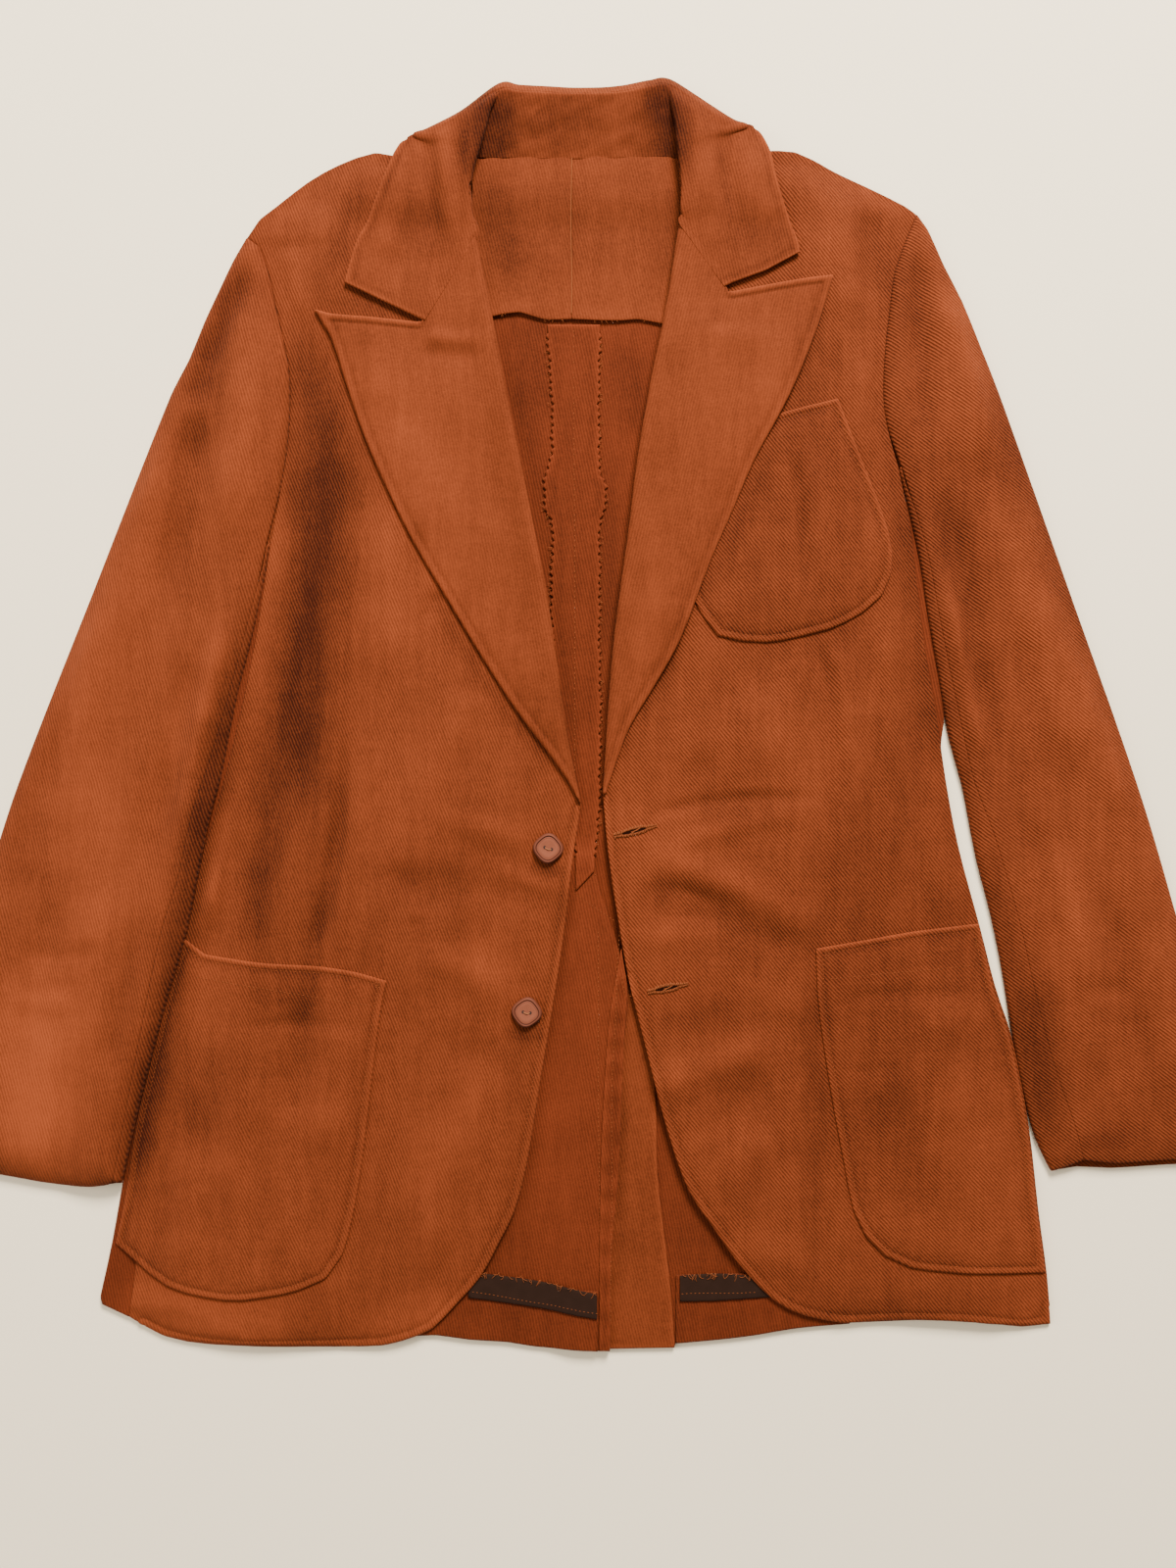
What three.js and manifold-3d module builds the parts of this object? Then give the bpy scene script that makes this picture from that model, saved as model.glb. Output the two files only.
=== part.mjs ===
// Twill jacket laid flat on its back, in millimetres.
// +X runs to the wearer's left, +Y to the collar and +Z up from the surface.
import * as THREE from 'three';
import Module from 'manifold-3d';

const wasm = await Module();
wasm.setup();

const CLOTH = 1.2;
const DOUBLED = 2.4;
const TAPE = 1.0;
const SEAM_GAP = 0.3;
const LAYER = CLOTH + SEAM_GAP;
const GRID = 20;
const CURVE_STEP = 14;
const CORNER_COS = 0.55;
const FLATNESS = 0.05;

// Heights that let the panels pass over what lies under them.
const COLLAR_FALL_LIFT = DOUBLED + SEAM_GAP;
const VENT_LIFT = 2 * LAYER;
const INSIDE_LIFT = LAYER + TAPE + SEAM_GAP;
const VENT_BUMP = 1.8;
const SLEEVE_OVER_BODY = 3 * LAYER + SEAM_GAP;

const MATERIALS = {
  twill: { color: 0xa8542e, roughness: 0.9 },
  twill_inside: { color: 0x94441f, roughness: 0.93 },
  hem_tape: { color: 0x3a2117, roughness: 0.8 },
  button: { color: 0xc67d62, roughness: 0.45 },
};

// Edges that the pieces share, as rows of x and y.
const EDGE = {
  // shoulder edge from the neck to the sleeve
  shoulderRight: [
    [-120, 365], [-132, 367.5], [-157, 360], [-176.5, 350], [-196, 335], [-208.5, 325.5],
    [-216.5, 313.5],
  ],
  // armhole seam from the shoulder down
  armholeRight: [
    [-216.5, 313.5], [-208.5, 307.5], [-203, 291.5], [-196, 259.5], [-190, 232.5], [-188.5, 211.5],
    [-190, 179.5], [-195, 147.5], [-201.5, 113.5],
  ],
  // side edge from the armhole to the hem
  sideRight: [
    [-201.5, 113.5], [-212, 45], [-226, -19], [-241.5, -76.5], [-253, -106], [-263.5, -145],
    [-275, -188.5], [-284, -228], [-292, -268.5], [-298, -305], [-305, -344.5], [-313, -381],
  ],
  // side seam, where the back wraps round the side edge
  sideSeamRight: [
    [-261, -143.5], [-267, -172.5], [-273.5, -198], [-279.5, -228], [-286, -268.5], [-287.5, -305],
    [-289, -358.5], [-291.5, -380.5], [-293.5, -393.5],
  ],
  // front hem from the side to the rounded corner
  hemRight: [
    [-313, -381], [-311.5, -385.5], [-294, -393.5], [-271.5, -406.5], [-240.5, -412], [-174, -413.5],
    [-127.5, -412], [-105.5, -405.5],
  ],
  // front edge from the hem up to the roll line
  edgeRight: [
    [-105.5, -405.5], [-95.5, -401], [-78.5, -383.5], [-63.5, -366.5], [-51.5, -344], [-42, -325],
    [-34, -295.5], [-24.5, -238], [-17.5, -196], [-10, -147.5], [-3.5, -94.5], [2, -58],
  ],
  // roll line of the lapel and collar, from the front edge to the neck
  rollRight: [
    [2, -58], [-7.5, -9.5], [-19.5, 75], [-28, 118], [-38, 170], [-47, 213.5], [-57.5, 269],
    [-67, 315], [-70, 339.5], [-68, 355.5],
  ],
  // shoulder edge from the neck to the sleeve
  shoulderLeft: [
    [120.5, 367.5], [141.5, 367], [166, 356], [190.5, 345.5], [214.5, 334], [222, 328.5],
  ],
  // armhole seam from the shoulder down
  armholeLeft: [
    [222, 328.5], [213.5, 308], [207.5, 291], [204, 264], [201.5, 242], [200, 211.5], [202.5, 190],
    [210, 163],
  ],
  // side edge from the armhole to the hem
  sideLeft: [
    [210, 163], [217.5, 126], [222.5, 84], [228, 40], [234.5, 3.5], [241.5, -44.5], [249.5, -86],
    [264, -140], [273.5, -177], [284.5, -211], [295.5, -268.5], [302, -325], [307.5, -366.5],
    [310, -398.5],
  ],
  // front hem from the side to the rounded corner
  hemLeft: [
    [310, -398.5], [291, -400.5], [259, -396], [214.5, -395], [188, -396.5], [173, -397],
  ],
  // front edge from the hem up to the roll line
  edgeLeft: [
    [173, -397], [149, -392], [129, -382.5], [104.5, -357], [87.5, -332.5], [72.5, -310],
    [58, -268.5], [43, -211], [33.5, -172.5], [27, -136.5], [20, -90], [16.5, -51.5],
  ],
  // roll line of the lapel and collar, from the front edge to the neck
  rollLeft: [
    [16.5, -51.5], [23, 41.5], [33.5, 122], [40, 173], [48.5, 221], [58.5, 270], [65, 314],
    [67, 326], [66, 355],
  ],
  // neck seam across the back
  neckSeam: [
    [-65, 366], [-38, 366], [-4, 366], [22.5, 366], [64.5, 366],
  ],
  // hidden top edge under the collar, from the neck seam to the shoulder
  neckDipRight: [
    [-65, 366], [-76.5, 362.5], [-102, 361.5], [-120, 365],
  ],
  // hidden top edge under the collar, from the neck seam to the shoulder
  neckDipLeft: [
    [64.5, 366], [74.5, 363], [101.5, 362], [120.5, 367.5],
  ],
  // lower edge of the back, from the right side to the left
  backHem: [
    [-313, -381], [-311.5, -385.5], [-294, -393.5], [-271.5, -406.5], [-240.5, -412], [-174, -413.5],
    [-105.5, -406], [-93, -405.5], [-71.5, -408.5], [-46.5, -410], [-28, -413], [6.5, -415.5],
    [63, -414], [64.5, -411], [92.5, -408.5], [117, -405.5], [143.5, -401], [178, -398], [259, -396],
    [291, -400.5], [310, -398.5],
  ],
  // hidden top edge of the front under the collar
  frontTopRight: [
    [-68, 355.5], [-76.5, 355.5], [-102, 359.5], [-120, 365],
  ],
  // hidden top edge of the front under the collar
  frontTopLeft: [
    [66, 355], [74.5, 355.5], [101.5, 359.5], [120.5, 367.5],
  ],
  // centre back seam from the neck to the top of the vent
  centreSeam: [
    [-3, 366], [-3, 256.5], [-1, 54], [10.5, -101],
  ],
  // folded vent edge of the right back half
  ventFold: [
    [10.5, -101], [32.5, -178], [30, -216], [26.5, -299], [22, -351.5], [21, -415],
  ],
  // hidden vent edge of the left back half
  ventUnder: [
    [10.5, -101], [14.5, -147], [14.5, -216], [12, -299], [8, -351.5], [6.5, -415],
  ],
  // stitched edge of the narrow vent hem
  ventHemEdge: [
    [28.5, -152], [21.5, -191.5], [17.5, -240.5], [15, -299], [14, -415],
  ],
  // free edge of the wide vent facing
  ventFacingEdge: [
    [42, -172.5], [46.5, -211], [51, -248], [52, -299], [60.5, -373.5], [63.5, -414],
  ],
  // lower edge of the neck facing
  facingBottom: [
    [-59, 261], [-38, 264.5], [-21.5, 259.5], [-4, 260], [15.5, 259], [28, 259], [40, 260],
    [58, 256.5],
  ],
  // pinked edge of the seam allowance on the right back half
  stripLeft: [
    [-20, 256.5], [-16.5, 173], [-22, 154], [-22, 134.5], [-17, 128.5], [-17, 54], [-1, -95.5],
  ],
  // pinked edge of the seam allowance on the left back half
  stripRight: [
    [14.5, 256.5], [14.5, 157], [19, 150.5], [18, 134.5], [14.5, 128.5], [14.5, -51.5],
    [10.5, -95.5],
  ],
  // upper edge of the right hem tape
  tapeRightTop: [
    [-71.5, -364], [-62, -365], [-25.5, -370], [17.5, -377.5],
  ],
  // lower edge of the right hem tape
  tapeRightLow: [
    [-71.5, -380.5], [-42, -384.5], [-11, -389.5], [19.5, -393.5],
  ],
  // upper edge of the left hem tape
  tapeLeftTop: [
    [67, -366.5], [90, -365], [112.5, -366.5], [128.5, -368.5],
  ],
  // lower edge of the left hem tape
  tapeLeftLow: [
    [67, -383], [90, -382.5], [112.5, -381], [128.5, -380],
  ],
  // lapel from the notch round the peak to the front edge
  lapelEdgeRight: [
    [-101.5, 256], [-134, 259], [-161, 261.5], [-171, 264.5], [-161, 248], [-149, 211.5],
    [-135.5, 174.5], [-108, 116], [-81, 70], [-60, 35], [-38.5, 2], [-17, -26.5], [-6.5, -41.5],
    [1.5, -56],
  ],
  // lapel from the notch round the peak to the front edge
  lapelEdgeLeft: [
    [97.5, 275.5], [131, 281], [165.5, 285.5], [158, 260], [143, 221], [131, 196], [114, 165],
    [99.5, 131], [87.5, 104], [78, 79.5], [65.5, 47.5], [46.5, 14], [33.5, -7.5], [25.5, -28.5],
    [17.5, -52],
  ],
  // gorge seam from the roll line to the notch
  gorgeRight: [
    [-66, 312], [-78, 293.5], [-89.5, 275], [-101.5, 256],
  ],
  // gorge seam from the roll line to the notch
  gorgeLeft: [
    [66, 319.5], [76, 307.5], [86.5, 293], [97.5, 277.5],
  ],
  // outer fold of the sleeve
  sleeveOuterRight: [
    [-216.5, 313.5], [-225.5, 298.5], [-235, 278.5], [-245, 257], [-255, 232.5], [-266, 211.5],
    [-316.5, 83.5], [-366.5, -44.5], [-387, -108.5], [-409.5, -185.5], [-437, -294],
  ],
  // inner fold of the sleeve
  sleeveInnerRight: [
    [-201.5, 113.5], [-208.5, 77], [-215.5, 45], [-223, 15.5], [-230, -19], [-235, -44.5],
    [-242, -73.5], [-248.5, -106], [-256.5, -145], [-270, -191.5], [-279.5, -228], [-286, -252.5],
    [-297.5, -304.5],
  ],
  // seam where the under sleeve meets the top sleeve
  sleeveSeamRight: [
    [-201.5, 113.5], [-209.5, 83.5], [-221, 38.5], [-236.5, -19], [-249.5, -63.5], [-259.5, -108.5],
    [-270, -142.5], [-284, -211], [-301.5, -302.5],
  ],
  // cuff edge from the outer fold to the inner fold
  cuffRight: [
    [-437, -294], [-377.5, -300.5], [-353, -305], [-328.5, -307.5], [-305.5, -305.5],
    [-297.5, -304.5],
  ],
  // outer fold of the sleeve
  sleeveOuterLeft: [
    [222, 328.5], [229.5, 318.5], [239.5, 296], [252, 271.5], [264, 242], [276, 211.5],
    [321.5, 83.5], [366.5, -44.5], [390.5, -125], [437, -294],
  ],
  // inner fold of the sleeve
  sleeveInnerLeft: [
    [210, 163], [215.5, 143], [224.5, 101.5], [230, 64.5], [237, 25.5], [243.5, -14], [252, -44.5],
    [261.5, -93], [271, -130], [278.5, -166.5], [286, -213.5], [293.5, -252.5], [300.5, -277.5],
    [310.5, -298],
  ],
  // seam where the under sleeve meets the top sleeve
  sleeveSeamLeft: [
    [210, 163], [220.5, 134.5], [229.5, 101.5], [236, 64.5], [247.5, 6.5], [259, -44.5],
    [271, -76.5], [288.5, -137.5], [300.5, -191.5], [312.5, -235], [323, -264.5], [330, -290],
  ],
  // cuff edge from the outer fold to the inner fold
  cuffLeft: [
    [437, -294], [390.5, -294], [350, -296.5], [327.5, -295.5], [310.5, -298],
  ],
  // chest patch pocket, all round
  chestPocket: [
    [169.5, 206.5], [129, 195.5], [85, 184], [74.5, 160.5], [70.5, 109], [77, 72], [83, 62.5],
    [91, 52], [122, 47.5], [143.5, 51], [163.5, 56], [185.5, 67], [198, 78], [204, 92], [205, 106],
    [202.5, 120.5], [193, 148], [183, 172.5],
  ],
  // right hip patch pocket, all round
  hipPocketRight: [
    [-258, -145.5], [-243.5, -156], [-225.5, -158.5], [-201.5, -161.5], [-166.5, -163.5],
    [-142.5, -167.5], [-124.5, -172.5], [-129, -196], [-134.5, -240.5], [-140.5, -289.5],
    [-147, -327.5], [-153.5, -351.5], [-164, -366.5], [-181.5, -374], [-206, -379], [-230, -380.5],
    [-267, -371.5], [-291.5, -354], [-302.5, -345.5], [-296.5, -317], [-289, -268.5], [-280, -228],
    [-267, -172.5],
  ],
  // left hip patch pocket, all round
  hipPocketLeft: [
    [262.5, -136], [239.5, -138.5], [217.5, -141], [188, -146], [155, -151.5], [156, -181.5],
    [159.5, -211], [166, -252.5], [173, -289.5], [179.5, -322], [188, -339.5], [200, -351.5],
    [217.5, -359.5], [241.5, -362.5], [264, -364], [306, -364.5], [300.5, -325], [294, -268.5],
    [282.5, -211], [271.5, -177],
  ],
};

// One row per section of the collar, from the right notch round the neck to the left notch.
// n is the seam, r the roll, s the turn round the shoulder, e the free edge.
// The rb and sb columns are half the height of the turn, and a height of 0 rests on the front.
const COLLAR_COLUMNS = [
  'nx', 'ny', 'nz', 'rx', 'ry', 'rz', 'rb', 'sx', 'sy', 'sz', 'sb', 'ex', 'ey', 'ez',
];
const COLLAR_ROWS = [
  [-101.5, 258, 0, -104, 259, 0, 0, -127.5, 270, 0, 0, -152, 281.5, 0],
  [-89.5, 277, 0, -92, 277.5, 0, 0, -118.5, 285, 0, 0, -149, 293.5, 0],
  [-78, 295.5, 0, -80.5, 296, 0, 0, -111, 302, 0, 0, -144.5, 309, 0],
  [-66, 314, 0, -69, 314, 0, 0, -103.5, 318, 0, 0, -140, 321.5, 0],
  [-72, 328.5, 0, -69.5, 328.5, 11.5, 1.8, -102, 335, 11, 0, -134, 337.5, 0],
  [-78, 344.5, 0, -70, 344.5, 12.6, 2.4, -101, 351, 11.5, 0, -129, 353.5, 0],
  [-75, 353.5, 0, -68.5, 353.5, 13, 2.4, -101, 361.5, 11, 0, -125, 364.5, 0],
  [-71.5, 360.5, 0, -66, 362, 13.6, 2.4, -102, 371.5, 10.5, 0, -120.5, 372, 6.5],
  [-64.5, 367.5, 6.2, -61, 378, 14.2, 2.6, -97.5, 382, 7, 4.2, -103.5, 367.5, 1.2],
  [-59, 367, 5.6, -56.5, 393.5, 14.6, 2.6, -75, 394.5, 7.2, 5, -88, 360, 1.2],
  [-51.5, 367, 5.4, -49, 403, 14.2, 0, -51, 411, 7.5, 5.6, -62.5, 357, 1.2],
  [-38, 367, 5.4, -38, 402, 14.2, 0, -38, 410, 7.4, 5.6, -38, 356, 1.2],
  [-19, 366.5, 5.4, -19, 401, 14, 0, -19, 409, 7.4, 5.6, -19, 355.5, 1.2],
  [6.5, 366.5, 5.4, 6.5, 400.5, 14, 0, 6.5, 408, 7.4, 5.6, 6.5, 355.5, 1.2],
  [27, 367, 5.4, 28.5, 401.5, 14.2, 0, 28.5, 409.5, 7.4, 5.6, 27, 356, 1.2],
  [45, 367.5, 5.4, 46.5, 405, 14.4, 0, 46.5, 413, 7.5, 5.7, 42.5, 357, 1.2],
  [57.5, 367.5, 5.4, 58, 405.5, 14.4, 0, 60, 413.5, 7.5, 5.7, 62, 357.5, 1.2],
  [61, 367.5, 5.6, 62, 393.5, 14.8, 2.6, 85, 398, 7.2, 5, 81, 360, 1.2],
  [67, 367.5, 6.2, 64.5, 378, 14.2, 2.6, 106, 384, 7, 4.2, 102.5, 367.5, 1.2],
  [72.5, 361.5, 0, 66, 364, 13.6, 2.4, 104, 378, 10.5, 0, 122, 376.5, 6.5],
  [75, 352.5, 0, 67, 352.5, 13, 2.4, 101.5, 365, 11, 0, 125, 366.5, 0],
  [74.5, 339.5, 0, 67, 339.5, 12.6, 2.4, 101.5, 351, 11.5, 0, 129, 350, 0],
  [70, 327.5, 0, 67, 327.5, 11.5, 1.8, 102.5, 334.5, 11, 0, 134, 333, 0],
  [67.5, 320.5, 0, 70, 320.5, 0, 0, 104, 319.5, 0, 0, 138, 322, 0],
  [77, 307, 0, 79.5, 307.5, 0, 0, 109, 309, 0, 0, 141, 314, 0],
  [87.5, 293.5, 0, 90, 294.5, 0, 0, 115.5, 298.5, 0, 0, 143.5, 307.5, 0],
  [97.5, 280, 0, 100, 281.5, 0, 0, 122, 289, 0, 0, 144.5, 300.5, 0],
];

// Soft ridges of the cloth: each runs from x0, y0 to x1, y1 and is half as high at "half" mm.
const FOLD_COLUMNS = ['x0', 'y0', 'x1', 'y1', 'half', 'height'];
const FOLDS = {
  frontRight: [
    [-195, 190, -207, 60, 13, 2.6],
    [-121, 225, -133, 20, 14, 1.8],
    [-235, -70, -246, -150, 10, 1.6],
    [-185, 0, -200, -140, 13, 1.9],
    [-150, -90, -165, -290, 14, 1.6],
    [-80, -130, -70, -260, 22, 1.2],
  ],
  frontLeft: [
    [140, 180, 155, 40, 12, 1.8],
    [196, 170, 205, 60, 12, 1.8],
    [40, -80, 150, -130, 14, 1.6],
    [45, -220, 120, -190, 14, 1.5],
    [175, 20, 190, -120, 16, 1.8],
    [215, -180, 225, -330, 16, 1.5],
  ],
  sleeveRight: [
    [-222, 280, -255, 100, 12, 2.6],
    [-255, 210, -345, -60, 14, 3.0],
    [-235, 60, -300, -150, 12, 2.2],
    [-320, -60, -365, -240, 16, 2.2],
    [-350, 0, -400, -220, 14, 2.4],
  ],
  sleeveLeft: [
    [240, 280, 262, 120, 13, 2.6],
    [262, 110, 330, -110, 13, 2.4],
    [290, 60, 360, -120, 15, 2.8],
    [330, -130, 350, -270, 13, 2.0],
    [375, -60, 405, -230, 14, 2.2],
  ],
};

// The buttons stand in a line near the right front edge, each turned by some degrees.
const BUTTON_COLUMNS = ['name', 'x', 'y', 'turn'];
const BUTTONS = [
  ['button_upper', -19.2, -86.4, 8],
  ['button_lower', -33.2, -193.2, 4],
];
const BUTTON = { half: 9.6, height: 3.4, power: 3.4, rim: 1.5, dish: 0.9, holeRadius: 0.8, holeSpread: 2.5 };

const table = (columns, rows) => rows.map((row) => (
  Object.fromEntries(columns.map((column, k) => [column, row[k]]))
));

const clamp01 = (v) => Math.min(1, Math.max(0, v));

// Goes from 0 at a to 1 at b without a kink.
function ramp(v, a, b) {
  const t = clamp01((v - a) / (b - a));
  return t * t * (3 - 2 * t);
}

// A curve through the rows that keeps every corner sharp.
function smooth(rows) {
  const last = rows.length - 1;
  const unit = (a, b) => {
    const length = Math.hypot(b[0] - a[0], b[1] - a[1]) || 1;
    return [(b[0] - a[0]) / length, (b[1] - a[1]) / length];
  };
  const isCorner = rows.map((row, k) => {
    if (k === 0 || k === last) return true;
    const before = unit(rows[k - 1], row);
    const after = unit(row, rows[k + 1]);
    return before[0] * after[0] + before[1] * after[1] < CORNER_COS;
  });
  const points = [];
  for (let k = 0; k < last; k += 1) {
    const a = rows[k];
    const b = rows[k + 1];
    const length = Math.hypot(b[0] - a[0], b[1] - a[1]);
    const slope = (i) => {
      if (isCorner[i]) return [b[0] - a[0], b[1] - a[1]];
      const [u, v] = unit(rows[i - 1], rows[i + 1]);
      return [u * length, v * length];
    };
    const ta = slope(k);
    const tb = slope(k + 1);
    const count = Math.max(1, Math.round(length / CURVE_STEP));
    for (let i = 0; i < count; i += 1) {
      const t = i / count;
      const h1 = 2 * t ** 3 - 3 * t ** 2 + 1;
      const h2 = t ** 3 - 2 * t ** 2 + t;
      const h3 = 3 * t ** 2 - 2 * t ** 3;
      const h4 = t ** 3 - t ** 2;
      points.push([0, 1].map((c) => h1 * a[c] + h2 * ta[c] + h3 * b[c] + h4 * tb[c]));
    }
  }
  points.push(rows[last]);
  return points;
}

const back = (rows) => [...rows].reverse();

const shift = (rows, dx, dy) => rows.map(([x, y]) => [x + dx, y + dy]);

// Chains edges into one closed outline that runs anticlockwise.
function outline(...edges) {
  const chain = [];
  for (const edge of edges) {
    for (const point of smooth(edge)) {
      const previous = chain[chain.length - 1];
      if (!previous || Math.hypot(point[0] - previous[0], point[1] - previous[1]) > 0.25) {
        chain.push(point);
      }
    }
  }
  const first = chain[0];
  const end = chain[chain.length - 1];
  if (Math.hypot(first[0] - end[0], first[1] - end[1]) < 0.25) chain.pop();
  const area = chain.reduce((sum, p, k) => {
    const q = chain[(k + 1) % chain.length];
    return sum + p[0] * q[1] - q[0] * p[1];
  }, 0);
  return area < 0 ? chain.reverse() : chain;
}

function solid(vertices, triangles) {
  return new wasm.Manifold(new wasm.Mesh({
    numProp: 3,
    vertProperties: new Float32Array(vertices.flat()),
    triVerts: new Uint32Array(triangles.flat()),
  }));
}

// A vertical prism on an outline.
function prism(points, low, high) {
  const count = points.length;
  const faces = THREE.ShapeUtils.triangulateShape(points.map(([x, y]) => new THREE.Vector2(x, y)), []);
  const vertices = [...points.map(([x, y]) => [x, y, low]), ...points.map(([x, y]) => [x, y, high])];
  const triangles = [];
  for (const [a, b, c] of faces) {
    triangles.push([a, c, b], [a + count, b + count, c + count]);
  }
  for (let k = 0; k < count; k += 1) {
    const next = (k + 1) % count;
    triangles.push([k, next, next + count], [k, next + count, k + count]);
  }
  return solid(vertices, triangles);
}

// A cloth sheet between two height functions, cut to an outline.
// Every sheet uses the same grid lines, so a sheet moved up by a gap never meets the one below.
function sheet(points, lowAt, highAt) {
  const xs = points.map((p) => p[0]);
  const ys = points.map((p) => p[1]);
  const i0 = Math.floor(Math.min(...xs) / GRID - 0.01);
  const i1 = Math.ceil(Math.max(...xs) / GRID + 0.01);
  const j0 = Math.floor(Math.min(...ys) / GRID - 0.01);
  const j1 = Math.ceil(Math.max(...ys) / GRID + 0.01);
  const columns = i1 - i0 + 1;
  const rows = j1 - j0 + 1;
  const vertices = [];
  for (const heightAt of [lowAt, highAt]) {
    for (let j = j0; j <= j1; j += 1) {
      for (let i = i0; i <= i1; i += 1) {
        vertices.push([i * GRID, j * GRID, heightAt(i * GRID, j * GRID)]);
      }
    }
  }
  const layer = columns * rows;
  const triangles = [];
  for (let j = 0; j < rows - 1; j += 1) {
    for (let i = 0; i < columns - 1; i += 1) {
      const a = j * columns + i;
      const b = a + 1;
      const c = a + columns;
      const d = c + 1;
      triangles.push([a, d, b], [a, c, d]);
      triangles.push([a + layer, b + layer, d + layer], [a + layer, d + layer, c + layer]);
    }
  }
  const rim = [];
  for (let i = 0; i < columns - 1; i += 1) rim.push([i, i + 1]);
  for (let j = 0; j < rows - 1; j += 1) rim.push([(j + 1) * columns - 1, (j + 2) * columns - 1]);
  for (let i = columns - 1; i > 0; i -= 1) {
    rim.push([(rows - 1) * columns + i, (rows - 1) * columns + i - 1]);
  }
  for (let j = rows - 1; j > 0; j -= 1) rim.push([j * columns, (j - 1) * columns]);
  for (const [a, b] of rim) triangles.push([a, b, b + layer], [a, b + layer, a + layer]);
  return solid(vertices, triangles).intersect(prism(points, -5, 60));
}

const raised = (heightAt, amount) => (x, y) => heightAt(x, y) + amount;

// The height of a sheet at any point, read from the same grid triangles that the sheet has.
function onGrid(heightAt, x, y) {
  const i = Math.floor(x / GRID);
  const j = Math.floor(y / GRID);
  const u = x / GRID - i;
  const v = y / GRID - j;
  const at = (di, dj) => heightAt((i + di) * GRID, (j + dj) * GRID);
  if (u >= v) return at(0, 0) + u * (at(1, 0) - at(0, 0)) + v * (at(1, 1) - at(1, 0));
  return at(0, 0) + v * (at(0, 1) - at(0, 0)) + u * (at(1, 1) - at(0, 1));
}

function xOnEdge(rows, y) {
  const sorted = [...rows].sort((a, b) => b[1] - a[1]);
  const k = sorted.findIndex((row) => row[1] <= y);
  if (k === 0) return sorted[0][0];
  if (k < 0) return sorted[sorted.length - 1][0];
  const [ax, ay] = sorted[k - 1];
  const [bx, by] = sorted[k];
  return ax + ((ay - y) / (ay - by || 1)) * (bx - ax);
}

function foldHeight(rows, x, y) {
  let height = 0;
  for (const fold of table(FOLD_COLUMNS, rows)) {
    const dx = fold.x1 - fold.x0;
    const dy = fold.y1 - fold.y0;
    const along = clamp01(((x - fold.x0) * dx + (y - fold.y0) * dy) / (dx * dx + dy * dy));
    const away = Math.hypot(x - fold.x0 - along * dx, y - fold.y0 - along * dy);
    height += fold.height * 0.5 ** ((away / fold.half) ** 2);
  }
  return height;
}

const neckLift = (x, y) => COLLAR_FALL_LIFT * ramp(y, 320, 340) * (1 - ramp(Math.abs(x), 140, 180));

const backLeftLow = neckLift;

const backRightLow = (x, y) => neckLift(x, y) + VENT_LIFT * ramp(x, -20, 0) * ramp(-y, 80, 100);

function frontRightLow(x, y) {
  const inside = INSIDE_LIFT * ramp(x, -160, -80);
  const fromSide = x - xOnEdge([...EDGE.armholeRight, ...EDGE.sideRight], y);
  return backRightLow(x, y) + LAYER + inside + foldHeight(FOLDS.frontRight, x, y) * ramp(fromSide, 12, 45);
}

function frontLeftLow(x, y) {
  const inside = INSIDE_LIFT * (1 - ramp(x, 140, 220));
  const vent = VENT_BUMP * (1 - ramp(x, 60, 100)) * ramp(-y, 60, 80);
  const fromSide = xOnEdge([...EDGE.armholeLeft, ...EDGE.sideLeft], y) - x;
  return backLeftLow(x, y) + LAYER + inside + vent
    + foldHeight(FOLDS.frontLeft, x, y) * ramp(fromSide, 5, 30);
}

function sleeveRightLow(x, y) {
  const fromBody = xOnEdge(EDGE.sideRight, y) - x;
  return SLEEVE_OVER_BODY * (1 - ramp(fromBody, 24, 64)) * ramp(-y, 20, 60);
}

const sleeveLeftLow = () => 0;

const sleeveTopLow = (lowAt, folds) => (x, y) => lowAt(x, y) + LAYER + foldHeight(folds, x, y);

const pocketUnderLapel = (x, y) => LAYER * ramp(x, 40, 60) * ramp(y, 0, 20) * (1 - ramp(y, 240, 280));

const frontTopAt = (x, y) => onGrid(x < 0 ? frontRightLow : frontLeftLow, x, y) + CLOTH;

const piece = (points, lowAt, thickness = CLOTH) => sheet(points, lowAt, raised(lowAt, thickness));

// A piece that turns round an edge: a lower sheet, the turned wall and a strip on top.
function turned(lowerOutline, stripOutline, wallOutline, lowAt, stripLowAt) {
  const lower = piece(lowerOutline, lowAt);
  const wall = sheet(wallOutline, lowAt, raised(stripLowAt, CLOTH));
  const strip = piece(stripOutline, stripLowAt);
  return lower.add(wall).add(strip);
}

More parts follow.
